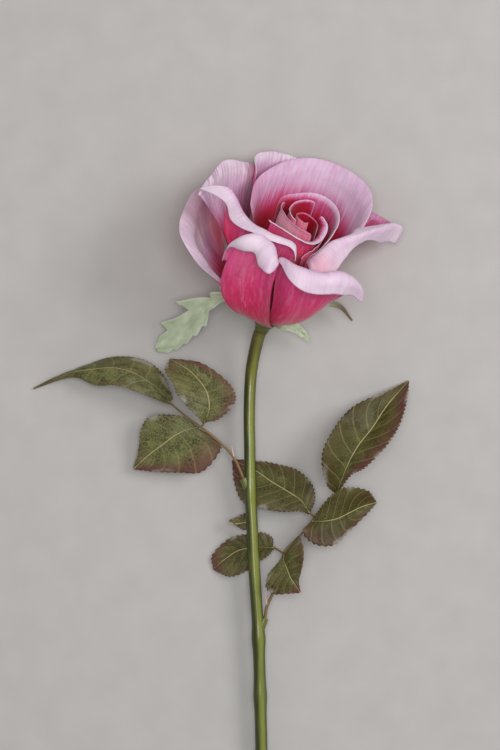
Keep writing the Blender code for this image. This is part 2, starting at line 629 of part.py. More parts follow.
def stalk(sprig, collection, cutters, mat):
    """A sprig's stalk: its peg, its run to the last leaflet, and a prong under each leaflet."""
    low, high = Vector(sprig.stub[0]), Vector(sprig.stub[1])
    run = [blend(low, high, STUB_FLOOR + 0.07), high, *(Vector(place) for place in sprig.rachis)]
    count = 3 * len(run)
    points = [along_points(run, i / count) for i in range(count + 1)]
    radii = [STALK_RADIUS * blend(1, STALK_TAPER, i / count) for i in range(count + 1)]
    body = tube(sprig.name, points, radii, 2, collection, mat)
    under = LEAF_CLOTH / 2 + SEAT_GAP + PRONG_RADIUS + 0.1
    for leaf in sprig.leaves:
        frame = leaf_frame(leaf)
        base = frame @ leaf_point(leaf, 0, 0)
        prong = [min(points, key=lambda place: (place - base).length)]
        for i in range(6):
            prong.append(frame @ leaf_point(leaf, 0, PRONG_SHARE * i / 5) - Vector((0, 0, under)))
        sizes = [PRONG_RADIUS * 1.2] + [PRONG_RADIUS * blend(1, 0.6, i / 5) for i in range(6)]
        boolean(body, tube(f"{sprig.name}_{leaf.name}", prong, sizes, 1, cutters, mat), "UNION")
    for i, (place, tip) in enumerate(sprig.stipules):
        stipule = tube(f"{sprig.name}_stipule_{i}", [place, tip], [0.45, 0.2], 1, cutters, mat)
        boolean(body, stipule, "UNION")


LOOKS = {
    "petal_cloth": ((0.62, 0.16, 0.28), 0.55),
    "hip_plastic": ((0.10, 0.20, 0.03), 0.4),
    "stem_plastic": ((0.13, 0.19, 0.03), 0.35),
    "sepal_cloth": ((0.36, 0.45, 0.28), 0.6),
    "leaf_cloth": ((0.10, 0.12, 0.04), 0.4),
    "stalk_wire": ((0.22, 0.12, 0.05), 0.45),
}


def stem_object(collection, cutters, mats):
    points, radii = stem_points()
    stem = tube("stem", points, radii, STEM_SIDES, collection, mats["stem_plastic"])
    for name, ends in (("left_stub", LEFT_STUB), ("right_stub", RIGHT_STUB)):
        outer, inner = stub(name, ends, cutters, mats["stem_plastic"])
        boolean(stem, outer, "UNION")
        boolean(stem, inner, "DIFFERENCE")


def centre_on_origin(collection):
    """Moves everything so that the origin is on the table, under the middle of the box round it."""
    graph = bpy.context.evaluated_depsgraph_get()
    corners = []
    for obj in collection.objects:
        if obj.type != "MESH":
            continue
        shape = obj.evaluated_get(graph)
        corners += [shape.matrix_world @ vert.co for vert in shape.to_mesh().vertices]
        shape.to_mesh_clear()
    low = Vector(min(corner[k] for corner in corners) for k in range(3))
    high = Vector(max(corner[k] for corner in corners) for k in range(3))
    shift = Vector((-(low.x + high.x) / 2, -(low.y + high.y) / 2, -low.z))
    for obj in bpy.data.objects:
        if not obj.parent:
            obj.location += shift


def main():
    clear_scene()
    rose = bpy.data.collections.new("rose")
    cutters = bpy.data.collections.new("cutters")
    for collection in (rose, cutters):
        bpy.context.scene.collection.children.link(collection)
    cutters.hide_render = True
    mats = {name: material(name, *look) for name, look in LOOKS.items()}

    head = bpy.data.objects.new("head", None)
    rose.objects.link(head)
    frame = head_frame()
    head.location = frame.translation * MM
    head.rotation_euler = frame.to_euler()

    hip_object(head, rose, mats["hip_plastic"])
    star_object(rose, mats["sepal_cloth"])
    for petal in PETALS:
        petal_object(petal, head, rose, mats["petal_cloth"])

    stem_object(rose, cutters, mats)
    for sprig in SPRIGS:
        stalk(sprig, rose, cutters, mats["stalk_wire"])
        for leaf in sprig.leaves:
            leaf_object(leaf, rose, mats["leaf_cloth"])
    leaf_object(BRACT, rose, mats["leaf_cloth"])
    centre_on_origin(rose)


main()
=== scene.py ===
"""The looks of an artificial rose: heat-formed cloth petals and coated leaves on a moulded stem.

Lengths in the tables are in millimetres. The design frame has X to the right, Y along the stem
towards the flower and Z up, with the foot of the flower at X = Y = 0. The head frame has Z along
the flower's own axis, X to the right and Y to the side that lies on the table. Azimuths are in
degrees from head X towards head Y: 0 is the right, 90 the back, 180 the left and 270 the front.
"""

import json
import logging
import math
from dataclasses import dataclass, field
from enum import Enum
from functools import cached_property
from typing import Callable, Sequence

import bmesh
import bpy
from mathutils import Matrix, Vector, noise


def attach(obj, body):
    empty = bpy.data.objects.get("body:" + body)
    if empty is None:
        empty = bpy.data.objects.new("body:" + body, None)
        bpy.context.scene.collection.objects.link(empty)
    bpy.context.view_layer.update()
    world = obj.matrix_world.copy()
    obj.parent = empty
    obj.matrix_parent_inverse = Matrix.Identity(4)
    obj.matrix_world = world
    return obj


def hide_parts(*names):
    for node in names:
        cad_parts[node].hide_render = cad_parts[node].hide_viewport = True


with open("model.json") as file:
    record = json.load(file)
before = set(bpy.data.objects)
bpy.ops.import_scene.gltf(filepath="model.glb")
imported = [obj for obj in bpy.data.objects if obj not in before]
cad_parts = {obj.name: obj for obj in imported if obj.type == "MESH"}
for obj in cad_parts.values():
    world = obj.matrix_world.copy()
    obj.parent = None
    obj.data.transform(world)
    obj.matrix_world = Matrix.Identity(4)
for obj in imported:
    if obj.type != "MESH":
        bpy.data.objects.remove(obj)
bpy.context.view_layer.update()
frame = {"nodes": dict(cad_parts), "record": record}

log = logging.getLogger("rose")

MM = 0.001
BODY = "root"

Pair = tuple[float, float]
Point = tuple[float, float, float]
Stops = Sequence[tuple[float, str]]
Material = bpy.types.Material
Socket = bpy.types.NodeSocket
Value = float | str | Sequence[float] | Socket
Inputs = dict[int | str, Value]

# The flower's attitude: its axis leans to the right of the stem and rises off the table.
HEAD_LEAN = 21.0
HEAD_TILT = 30.0
HEAD_HEIGHT = 22.0

# Where the stem's cut end lies in the design frame, which ties that frame to the solids.
STEM_LENGTH = 355.0
STEM_END_RADIUS = 3.0
STEM_END_SIDE = 1.0

# The photograph's framing: real millimetres to a pixel of its 500 by 750, and its middle.
MM_PER_PIXEL = 0.45
PICTURE_HEIGHT = 750
PICTURE_MIDDLE = (-7.2, -25.65, 25.0)
CAMERA_DISTANCE = 1200.0
SENSOR_HEIGHT = 36.0

# One unit of a UV map is this many millimetres of flat cloth.
UV_UNIT = 10.0

# Edges of a moulding that turn by more than this, in degrees, look crisp.
SHARP = 50.0

# Points closer than this, in metres, are one point.
SAME = 1e-6


class Face(Enum):
    """The faces of a cut petal, in the order of its material slots."""

    INNER = 0
    OUTER = 1
    EDGE = 2


class Seam(Enum):
    """What becomes of the first and the last column of a blank."""

    OPEN = "two free edges"
    RING = "joined, with a hole in the middle"
    TUBE = "joined, with both ends filled"


def linear(code: str) -> tuple[float, float, float, float]:
    """Turns an sRGB hex colour into a linear one.

    Args:
        code: Six hex digits, red first.

    Returns:
        Red, green, blue and an alpha of one.
    """
    parts = [int(code[i:i + 2], 16) / 255 for i in (0, 2, 4)]
    light = [p / 12.92 if p <= 0.04045 else ((p + 0.055) / 1.055) ** 2.4 for p in parts]
    return (*light, 1.0)


def blend(a: float, b: float, t: float) -> float:
    """Returns the value a share t of the way from a to b."""
    return a + (b - a) * t


def clamp(t: float, low: float = 0.0, high: float = 1.0) -> float:
    """Keeps a number between two others."""
    return min(max(t, low), high)


def ease(t: float) -> float:
    """Returns a smooth step from 0 to 1."""
    t = clamp(t)
    return t * t * (3 - 2 * t)


def along(values: Sequence[float], s: float) -> float:
    """Reads a smooth curve through evenly spaced values.

    Args:
        values: Two or more numbers.
        s: The place, from -1 at the first to 1 at the last.

    Returns:
        The curve's value there.
    """
    place = (s + 1) / 2 * (len(values) - 1)
    i = max(0, min(int(place), len(values) - 2))
    t = place - i
    p1, p2 = values[i], values[i + 1]
    p0 = values[i - 1] if i else 2 * p1 - p2
    p3 = values[i + 2] if i + 2 < len(values) else 2 * p2 - p1
    rise, fall = (p2 - p0) / 2, (p3 - p1) / 2
    return (p1 * (1 + 2 * t) * (1 - t) ** 2 + rise * t * (1 - t) ** 2
            + p2 * t * t * (3 - 2 * t) + fall * t * t * (t - 1))


def along_points(points: Sequence[Sequence[float]], t: float) -> Vector:
    """Reads a smooth curve through evenly spaced points, at t from 0 to 1."""
    return Vector([along([p[k] for p in points], 2 * t - 1) for k in range(len(points[0]))])


def polyline(pairs: Sequence[Pair], t: float) -> float:
    """Reads straight lines through pairs of a place and a value.

    Args:
        pairs: The pairs, in rising order of place.
        t: The place that is asked for.

    Returns:
        The value there, or the nearest end's beyond the ends.
    """
    for (t0, v0), (t1, v1) in zip(pairs, pairs[1:]):
        if t <= t1:
            return blend(v0, v1, (t - t0) / max(t1 - t0, 1e-9)) if t > t0 else v0
    return pairs[-1][1]


def ripple(seed: float, *place: float) -> float:
    """Returns a smooth noise from -1 to 1 at a place counted in waves."""
    x, y, z = (*place, 0.0, 0.0)[:3]
    return noise.noise(Vector((x + 17.3 * seed, y - 5.1 * seed, z + 2.7 * seed)))


def foot_of_flower() -> Vector:
    """Finds the design frame's origin among the solids, from the stem's cut end."""
    end = next(m for m in frame["record"]["mounts"] if m["name"] == "stem_end")
    return Vector(end["pos_m"]) - Vector((STEM_END_SIDE, -STEM_LENGTH, STEM_END_RADIUS)) * MM


FOOT = foot_of_flower()


def placed(point: Vector) -> Vector:
    """Turns a point of the design frame into metres among the solids."""
    return FOOT + point * MM


def head_frame() -> Matrix:
    """Works out how the flower leans.

    Returns:
        The head frame in the design frame.
    """
    tilt, lean = math.radians(HEAD_TILT), math.radians(HEAD_LEAN)
    axis = Vector((math.cos(tilt) * math.sin(lean), math.cos(tilt) * math.cos(lean), math.sin(tilt)))
    right = (Vector((1, 0, 0)) - axis * axis.x).normalized()
    turn = Matrix((right, axis.cross(right), axis)).transposed().to_4x4()
    return Matrix.Translation((0, 0, HEAD_HEIGHT)) @ turn


HEAD = head_frame()


def add_object(name: str, data: bpy.types.ID) -> bpy.types.Object:
    """Puts a mesh, a light or a camera in the scene.

    Args:
        name: The object's name.
        data: What it shows.

    Returns:
        The new object.
    """
    made = bpy.data.objects.new(name, data)
    bpy.context.scene.collection.objects.link(made)
    return made


def add_piece(mesh: bpy.types.Mesh, finishes: Sequence[Material], slot: str, *nodes: str) -> bpy.types.Object:
    """Puts a mesh in the scene as a piece that rides on the flower.

    Args:
        mesh: The piece's mesh, in place.
        finishes: Its materials, in the order of its slots.
        slot: The record's material slot; not used.
        *nodes: The solids that it stands for.

    Returns:
        The new object.
    """
    piece = add_object(mesh.name + "_look", mesh)
    for finish in finishes:
        mesh.materials.append(finish)
    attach(piece, BODY)
    if nodes:
        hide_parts(*nodes)
    return piece


def thicken(piece: bpy.types.Object, cloth: float, two_faced: bool = False) -> None:
    """Gives an open sheet the thickness of its cloth.

    Args:
        piece: The sheet.
        cloth: The cloth's thickness in millimetres.
        two_faced: True where the back and the cut edge have materials of their own.
    """
    shell = piece.modifiers.new("cloth", "SOLIDIFY")
    shell.thickness = cloth * MM
    shell.offset = 0.0
    shell.use_quality_normals = True
    if two_faced:
        shell.material_offset = Face.OUTER.value
        shell.material_offset_rim = Face.EDGE.value


@dataclass
class Blank:
    """A flat grid bent to a shape, which every cloth piece and every moulded rod starts from.

    Attributes:
        name: The piece's name.
    """

    name: str

    # What its side edges do, and the place that tells which way it faces.
    SEAM = Seam.OPEN
    MIDDLE = (0.5, 0.6)

    def place(self, u: float, v: float) -> Vector:
        """Returns the design-frame point at (u, v), both from 0 to 1."""
        raise NotImplementedError

    def flat(self, u: float, v: float) -> Pair:
        """Returns the flat cloth's own coordinates there, in millimetres."""
        raise NotImplementedError

    def marks(self, u: float, v: float) -> dict[str, float]:
        """Returns the point attributes that the finish reads there."""
        return {}

    def relief(self, u: float, v: float) -> float:
        """Returns how far the surface is raised along its normal there, in millimetres."""
        return 0.0

    def mesh(self, columns: int, rows: int, facing: Vector | None = None) -> bpy.types.Mesh:
        """Builds the bent grid.

        Args:
            columns: Cells across, along u.
            rows: Cells along, along v.
            facing: A direction that the middle face has to look along, for an open sheet.

        Returns:
            The mesh, in metres among the solids, with its UV map and its attributes.
        """
        bm = bmesh.new()
        maps = bm.loops.layers.uv.new("cloth")
        layers = {mark: bm.verts.layers.float.new(mark) for mark in self.marks(*self.MIDDLE)}
        bmesh.ops.create_grid(bm, x_segments=columns, y_segments=rows, size=1.0)
        spots = {vert: ((vert.co.x + 1) / 2, (vert.co.y + 1) / 2) for vert in bm.verts}
        cloth = {vert: self.flat(*spot) for vert, spot in spots.items()}
        for vert, spot in spots.items():
            vert.co = placed(self.place(*spot))
            for mark, value in self.marks(*spot).items():
                vert[layers[mark]] = value
        for face in bm.faces:
            for loop in face.loops:
                x, y = cloth[loop.vert]
                loop[maps].uv = (x / UV_UNIT, y / UV_UNIT)
        bm.normal_update()
        if facing is not None:
            across, up = self.MIDDLE
            middle = min(bm.faces, key=lambda face: sum(
                (spots[v][0] - across) ** 2 + (spots[v][1] - up) ** 2 for v in face.verts))
            if middle.normal.dot(facing) < 0:
                bmesh.ops.reverse_faces(bm, faces=bm.faces)
                bm.normal_update()
        raised = {vert: vert.co + vert.normal * self.relief(*spots[vert]) * MM for vert in bm.verts}
        for vert, point in raised.items():
            vert.co = point
        if self.SEAM is not Seam.OPEN:
            bmesh.ops.remove_doubles(bm, verts=bm.verts, dist=SAME)
        if self.SEAM is Seam.TUBE:
            bmesh.ops.holes_fill(bm, edges=[e for e in bm.edges if e.is_boundary], sides=0)
            bmesh.ops.recalc_face_normals(bm, faces=bm.faces)
        mesh = bpy.data.meshes.new(self.name)
        bm.to_mesh(mesh)
        bm.free()
        mesh.shade_smooth()
        return mesh


class Surface:
    """A material while it is put together.

    Attributes:
        material: The material.
        tree: Its nodes.
    """

    def __init__(self, name: str) -> None:
        """Starts a material of that name, with its shader."""
        self.material = bpy.data.materials.new(name)
        self.material.use_nodes = True
        self.tree = self.material.node_tree

    def fill(self, node: bpy.types.Node, inputs: Inputs) -> None:
        """Sets or links the inputs of a node.

        Args:
            node: The node.
            inputs: A value, a hex colour or an output to link, for each input by name or number.
        """
        for key, value in inputs.items():
            if isinstance(value, Socket):
                self.tree.links.new(value, node.inputs[key])
            else:
                node.inputs[key].default_value = linear(value) if isinstance(value, str) else value

    def add(self, kind: str, *values: Value, named: Inputs | None = None, out: int | str = 0,
            stops: Stops = (), **settings: object) -> Socket:
        """Adds a node with its settings, values and links.

        Args:
            kind: The node's type, without the leading ShaderNode.
            *values: A value, a hex colour or an output to link, for its inputs from the first.
            named: The same for other inputs, by name or number.
            out: The output that is wanted, by name or number.
            stops: A colour ramp's places from 0 to 1, each with its hex colour.
            **settings: The node's own properties.

        Returns:
            That output.
        """
        node = self.tree.nodes.new("ShaderNode" + kind)
        for name, value in settings.items():
            setattr(node, name, value)
        self.fill(node, {**dict(enumerate(values)), **(named or {})})
        if stops:
            points = node.color_ramp.elements
            while len(points) < len(stops):
                points.new(0.5)
            for point, (place, _) in zip(points, stops):
                point.position = place
            for point, (_, code) in zip(points, stops):
                point.color = linear(code)
        return node.outputs[out]

    def grain(self, across: float, lengthwise: float, detail: float = 2.0) -> Socket:
        """Draws a noise that follows the cloth.

        Args:
            across: The size of its grains across the cloth, in millimetres.
            lengthwise: Their size along it.
            detail: How many finer layers it has.

        Returns:
            The noise, from 0 to 1.
        """
        uv = self.add("UVMap", uv_map="cloth")
        scale = (UV_UNIT / across, UV_UNIT / lengthwise, 1)
        scaled = self.add("Mapping", uv, named={"Scale": scale})
        return self.add("TexNoise", scaled, named={"Scale": 1.0, "Detail": detail})

    def lay(self, colour: Socket, *layers: tuple[Value, ...]) -> Socket:
        """Lays tints over a colour, one on the other.

        Args:
            colour: The colour below them.
            *layers: The share of each, which may be a mark's name, then its tint, and MULTIPLY
                where it darkens.

        Returns:
            The colour with its tints.
        """
        for share, tint, *way in layers:
            if isinstance(share, str):
                share = self.add("Attribute", out="Fac", attribute_name=share)
            colour = self.add("Mix", share, named={6: colour, 7: tint}, out=2, data_type="RGBA",
                              blend_type=way[0] if way else "MIX")
        return colour

    def dress(self, inputs: Inputs, height: Socket | None = None, strength: float = 0.0,
              depth: float = 0.0) -> Material:
        """Joins what was drawn to the shader.

        Args:
            inputs: The shader's inputs.
            height: The fine relief that the light shows.
            strength: How strongly it shows.
            depth: Its depth, in millimetres.

        Returns:
            The finished material.
        """
        if height is not None:
            relief = {"Height": height, "Strength": strength, "Distance": depth * MM}
            inputs = {**inputs, "Normal": self.add("Bump", named=relief)}
        self.fill(self.tree.nodes["Principled BSDF"], inputs)
        return self.material


@dataclass(frozen=True)
class PetalCloth:
    """Polyester satin, dip-dyed from the claw up and pressed in a hot mould.

    The dye wicks along the threads, so it ends in streaks that run from the claw to the rim. The
    hot mould leaves fine ribs along the same lines.

    Attributes:
        inside: The inner face, from the undyed rim to the full dye at the claw.
        outside: The outer face, from the claw to the rim.
        cut: The melted edge, from the rim to the claw.
        faded: The outer face where the dye has run thin.
        threads: The pale and the dark threads of the outer face.
        painted_glow: A salmon glow painted where light comes through two layers.
        tinge: The lavender into which the dye's blue part has bled.
        pleat_shade: The painted shade in the pressed pleats.
        streak: The width and length of the broad streaks, in millimetres.
        hair: The same of the hair-fine streaks where the dye ends.
        rib: The same of the pressed ribs.
        furrow: The same of the pressed pleats.
        blot: The same of the patches into which the blue has bled.
        slub: The same of the pale threads of the outer face, and of the patches they gather in.
        shadow: The same of its dark threads.
        thread: The weave, drawn twice as coarse as real satin so that it shows at all.
    """

    inside: Stops = ((0.0, "EBD6E4"), (0.16, "E0C0DA"), (0.34, "D9A2C4"), (0.55, "D0608F"),
                     (0.76, "BC2449"), (1.0, "A80E28"))
    outside: Stops = ((0.0, "C4123C"), (0.3, "DA2460"), (0.62, "E2488C"), (0.8, "DF669F"),
                      (0.9, "E396B6"), (1.0, "EBC4D2"))
    cut: Stops = ((0.06, "EBD6E0"), (0.25, "D985AE"), (0.5, "B8325F"), (1.0, "8A1830"))
    faded: str = "EDBCCB"
    threads: tuple[str, str] = ("EDBBD0", "C98FA2")
    painted_glow: str = "E4707E"
    tinge: str = "D6C0E4"
    pleat_shade: str = "AE8AB2"
    streak: Pair = (2.4, 40.0)
    hair: Pair = (0.55, 11.0)
    rib: Pair = (1.5, 22.0)
    furrow: Pair = (0.9, 26.0)
    blot: Pair = (7.0, 13.0)
    slub: tuple[Pair, Pair] = ((0.4, 2.4), (1.6, 9.0))
    shadow: Pair = (0.9, 6.0)
    thread: float = 0.5

    def finishes(self) -> list[Material]:
        """Returns the petals' materials in the order of their faces."""
        made = {Face.INNER: self.inner(), Face.OUTER: self.outer(), Face.EDGE: self.edge()}
        return [made[face] for face in Face]

    def satin(self, skin: Surface, colour: Socket, ribs: Socket) -> Material:
        """Finishes a face with the relief of its ribs and weave and the satin's broken shine.

        Args:
            skin: The face's material.
            colour: Its colour.
            ribs: Its pressed ribs.

        Returns:
            The finished material.
        """
        weave = skin.grain(self.thread, self.thread, 0.0)
        height = skin.add("Math", weave, 0.3, ribs, operation="MULTIPLY_ADD")
        gloss = skin.add("MapRange", ribs, named={"To Min": 0.4, "To Max": 0.62})
        sheen = {"Sheen Weight": 0.2, "Sheen Roughness": 0.4, "Specular IOR Level": 0.3}
        return skin.dress({"Base Color": colour, "Roughness": gloss, **sheen}, height, 0.75, 0.4)

    def streaked(self, skin: Surface, mark: str, broad: float, fine: float, stops: Stops) -> Socket:
        """Dyes a face by a mark that broad and hair-fine streaks shift to and fro.

        Args:
            skin: The face's material.
            mark: The mark's name.
            broad: How far the broad streaks shift it.
            fine: How far the fine ones do.
            stops: The dye's colours.

        Returns:
            The dyed colour.
        """
        level = skin.add("Attribute", out="Fac", attribute_name=mark)
        shift = 0.0
        for size, much in ((self.streak, broad), (self.hair, fine)):
            centred = skin.add("Math", skin.grain(*size), 0.5, operation="SUBTRACT")
            shift = skin.add("Math", centred, much, shift, operation="MULTIPLY_ADD")
        gain = skin.add("MapRange", level, named={"From Max": 0.4, "To Min": 0.3})
        moved = skin.add("Math", shift, gain, level, operation="MULTIPLY_ADD", use_clamp=True)
        return skin.add("ValToRGB", moved, stops=stops)

    def inner(self) -> Material:
        """Makes the face that looks to the heart: wine at the claw, a pale lavender pink at the rim.

        Returns:
            Its material.
        """
        skin = Surface("petal_satin_inner")
        dyed = self.streaked(skin, "dye", 0.3, 0.5, self.inside)
        bled = skin.add("MapRange", skin.grain(*self.blot, 3.0),
                        named={"From Min": 0.42, "From Max": 0.68, "To Max": 0.3})
        # Painted shade in the pressed pleats: darker streaks along the cloth.
        painted_pleat_shade = skin.add("ValToRGB", skin.grain(*self.furrow, 3.0),
                           stops=((0.38, self.pleat_shade), (0.54, "FFFFFF")))
        # Over the dye: the painted salmon glow of light through the cloth, the bled lavender and the painted
        # shade in the pleats.
        colour = skin.lay(dyed, ("painted_glow", self.painted_glow), (bled, self.tinge, "MULTIPLY"),
                          ("pleat_shade", painted_pleat_shade, "MULTIPLY"))
        return self.satin(skin, colour, skin.grain(*self.rib))

    def outer(self) -> Material:
        """Makes the outer face, dyed to a strong pink that is mottled by its threads.

        Returns:
            Its material.
        """
        skin = Surface("petal_satin_outer")
        dyed = self.streaked(skin, "reach", 0.16, 0.2, self.outside)
        fine, coarse = self.slub
        mottle = skin.add("Math", skin.grain(*fine, 4.0), skin.grain(*coarse, 3.0), operation="MULTIPLY")
        pale = skin.add("MapRange", mottle, named={"From Min": 0.24, "From Max": 0.42, "To Max": 0.25})
        dark = skin.add("ValToRGB", skin.grain(*self.shadow, 4.0),
                        stops=((0.34, self.threads[1]), (0.52, "FFFFFF")))
        colour = skin.lay(dyed, ("fade", self.faded), (pale, self.threads[0]), (0.3, dark, "MULTIPLY"))
        return self.satin(skin, colour, skin.grain(1.4 * self.rib[0], self.rib[1]))

    def edge(self) -> Material:
        """Makes the hot-knife edge: melted, pale and a little shiny.

        Returns:
            Its material.
        """
        skin = Surface("petal_satin_cut_edge")
        level = skin.add("Attribute", out="Fac", attribute_name="dye")
        colour = skin.add("ValToRGB", level, stops=self.cut)
        return skin.dress({"Base Color": colour, "Roughness": 0.4})


@dataclass
class Petal(Blank):
    """One petal. Lengths are in millimetres and angles in degrees, in the head frame.

    Attributes:
        name: The solid that it stands for.
        seat: Its place counted from the outermost petal, each a step higher on the peg.
        turn: The azimuth of its middle.
        spread: Its half width at the rim.
        start: The slope at which it leaves the peg.
        neck: The slope where the rim begins to curl, or a list across the petal.
        curl: The radius of that curl.
        radius: The crest of the rim, across the petal from its lowest azimuth.
        height: The crest's height, likewise.
        lip: The width of the cloth beyond the crest.
        brim: The slope at the lip's edge, below zero where it droops.
        roll: The share of the lip that bends, before it runs on straight.
        claw: The half width at the peg, as a share of spread.
        belly: The half width in the bowl, as a share of spread.
        veer: How far round the claw is shifted.
        bulge: The reach of the bowl's curve at the peg and at the neck.
        flap: How far the rim stands out free beyond the wall below it, across the petal.
        corner: How much the rim's corners are rounded.
        pale: Where the dye ends, as a share of the petal's length.
        deep: Where the dye is full, as a share of the petal's length.
        tide: How much further up the dye reaches at the low and at the high side.
        wash: How pink the cloth stays beyond the dye's end, at the low and at the high side.
        hidden: The share of its length that its neighbours hide, where the outer face is deep red.
        fade: How far the outer face has faded.
        painted_glow: Where a salmon glow of light through the cloth is painted on the inner face: how much,
            and the middle (s, v) of the patch.
        pleat_shade: How strong the painted shade in the pressed pleats is on the inner face.
        ruffle: The height of the rim's fine waves.
    """

    seat: int
    turn: float
    spread: float
    start: float
    neck: float | tuple[float, ...]
    curl: float
    radius: tuple[float, ...]
    height: tuple[float, ...]
    lip: tuple[float, ...] = (0, 0)
    brim: tuple[float, ...] = (35, 35)
    roll: float = 1.0
    claw: float = 0.8
    belly: float = 1.0
    veer: float = 0.0
    bulge: Pair = (0.45, 0.4)
    flap: tuple[float, ...] = (0, 0)
    corner: float = 0.12
    pale: float = 0.72
    deep: float = 0.3
    tide: Pair = (0.0, 0.0)
    wash: Pair = (0.0, 0.0)
    hidden: float = 0.0
    fade: float = 0.0
    painted_glow: tuple[float, float, float] = (0.0, 0.0, 0.5)
    pleat_shade: float = 0.12
    ruffle: float = 0.4

    # The peg that the petals are seated on, and how a petal's length is divided.
    PEG_RADIUS = 3.6
    PEG_TIP_RADIUS = 1.4
    PEG_LENGTH = 18.0
    SEAT_STEP = 1.1
    SEAT_GAP = 0.3
    BODY_SHARE = 0.62
    CREST_SHARE = 0.8

    # The rim's rise and waves, the smallest bend and half width, the cloth as drawn and as
    # seated, and the grid it is bent from.
    FLAP_RISE = 0.2
    CREST_WAVE = 0.45
    LIP_WAVE = 0.09
    LEAST_BEND = 0.01
    LEAST_FLAT = 6.0
    CLOTH = 0.3
    SEAT_CLOTH = 0.5
    CELL = 0.62
    COLUMNS = 150
    ROWS = 72
    KNOTS = 24

    @property
    def seed(self) -> int:
        """Which part of the noise its waves read."""
        return self.seat + 1

    @property
    def top(self) -> float:
        """The share of its length where the cloth ends: at the crest, or at the lip's edge."""
        return 1.0 if max(self.lip) > 0 else self.CREST_SHARE

    def point(self, s: float, v: float) -> Vector:
        """Returns a point of the petal in the head frame.

        Args:
            s: From -1 at its lowest azimuth to 1 at its highest.
            v: From 0 at the peg to 1 at the lip's edge.

        Returns:
            The point.
        """
        v *= 1 - self.corner * s ** 8
        neck = math.radians(along(self.neck, s) if isinstance(self.neck, tuple) else self.neck)
        brim = math.radians(along(self.brim, s))
        crest = max(0.0, brim)
        crest_r = along(self.radius, s)
        crest_h = along(self.height, s) + self.CREST_WAVE * ripple(self.seed + 7, 5.0 * s)
        flap = along(self.flap, s)
        neck_r = crest_r - flap - self.curl * (math.sin(neck) - math.sin(crest))
        neck_h = crest_h - flap * self.FLAP_RISE - self.curl * (math.cos(crest) - math.cos(neck))
        if v <= self.BODY_SHARE:
            r, h = self.bowl(v / self.BODY_SHARE, neck, neck_r, neck_h)
        elif v <= self.CREST_SHARE:
            t = (v - self.BODY_SHARE) / (self.CREST_SHARE - self.BODY_SHARE)
            slope = blend(neck, crest, t)
            out = flap * (1 - math.cos(math.pi * t / 2))
            r = neck_r + self.curl * (math.sin(neck) - math.sin(slope)) + out
            h = neck_h + self.curl * (math.cos(slope) - math.cos(neck)) + out * self.FLAP_RISE
        else:
            t = (v - self.CREST_SHARE) / (1 - self.CREST_SHARE)
            lip = max(0.0, along(self.lip, s)) * (1 + self.LIP_WAVE * ripple(self.seed + 6, 4.0 * s))
            if brim < -self.LEAST_BEND:
                bend = lip * self.roll / -brim
                turned = -brim * min(t / self.roll, 1.0)
                flat = lip * max(t - self.roll, 0.0)
                r = crest_r + bend * math.sin(turned) + flat * math.cos(brim)
                h = crest_h - bend * (1 - math.cos(turned)) + flat * math.sin(brim)
            else:
                r = crest_r + lip * t * math.cos(brim)
                h = crest_h + lip * t * math.sin(brim)
        share = blend(blend(self.claw, self.belly, ease(v / 0.3)), 1.0, ease((v - 0.3) / 0.4))
        middle = self.turn + self.veer * (1 - ease(v / 0.6))
        azimuth = math.radians(middle + self.spread * share * math.sin(math.pi * s / 2))
        return Vector((r * math.cos(azimuth), r * math.sin(azimuth), h))

    def bowl(self, t: float, neck: float, neck_r: float, neck_h: float) -> Pair:
        """Follows the petal's bowl from the peg to the neck.

        Args:
            t: The share of the way.
            neck: The slope at the neck, in radians.
            neck_r: The neck's radius.
            neck_h: The neck's height.

        Returns:
            The radius and height there.
        """
        seat_h = self.seat * self.SEAT_STEP
        peg = blend(self.PEG_RADIUS, self.PEG_TIP_RADIUS, seat_h / self.PEG_LENGTH)
        seat_r = peg + self.SEAT_GAP + self.SEAT_CLOTH / 2
        chord = math.hypot(neck_r - seat_r, neck_h - seat_h)
        start = math.radians(self.start)
        k0, k1 = self.bulge[0] * chord, self.bulge[1] * chord
        share = ((1 - t) ** 3, 3 * t * (1 - t) ** 2, 3 * t * t * (1 - t), t ** 3)
        radii = (seat_r, seat_r + k0 * math.cos(start), neck_r - k1 * math.cos(neck), neck_r)
        heights = (seat_h, seat_h + k0 * math.sin(start), neck_h - k1 * math.sin(neck), neck_h)
        return sum(b * r for b, r in zip(share, radii)), sum(b * h for b, h in zip(share, heights))

    def flat_width(self, s: float, v: float) -> float:
        """Returns how far across the flat cloth a point lies from its middle line, in millimetres."""
        return s * max(self.point(0, v).xy.length, self.LEAST_FLAT) * math.radians(self.spread)

    @cached_property
    def length(self) -> float:
        """The length of the petal's middle line, in millimetres."""
        knots = [self.point(0, self.top * i / self.KNOTS) for i in range(self.KNOTS + 1)]
        return sum((b - a).length for a, b in zip(knots, knots[1:]))

    def place(self, u: float, v: float) -> Vector:
        """Returns the design-frame point at (u, v)."""
        return HEAD @ self.point(2 * u - 1, v * self.top)

    def flat(self, u: float, v: float) -> Pair:
        """Returns the flat cloth's own coordinates there."""
        return self.flat_width(2 * u - 1, v * self.top), v * self.length

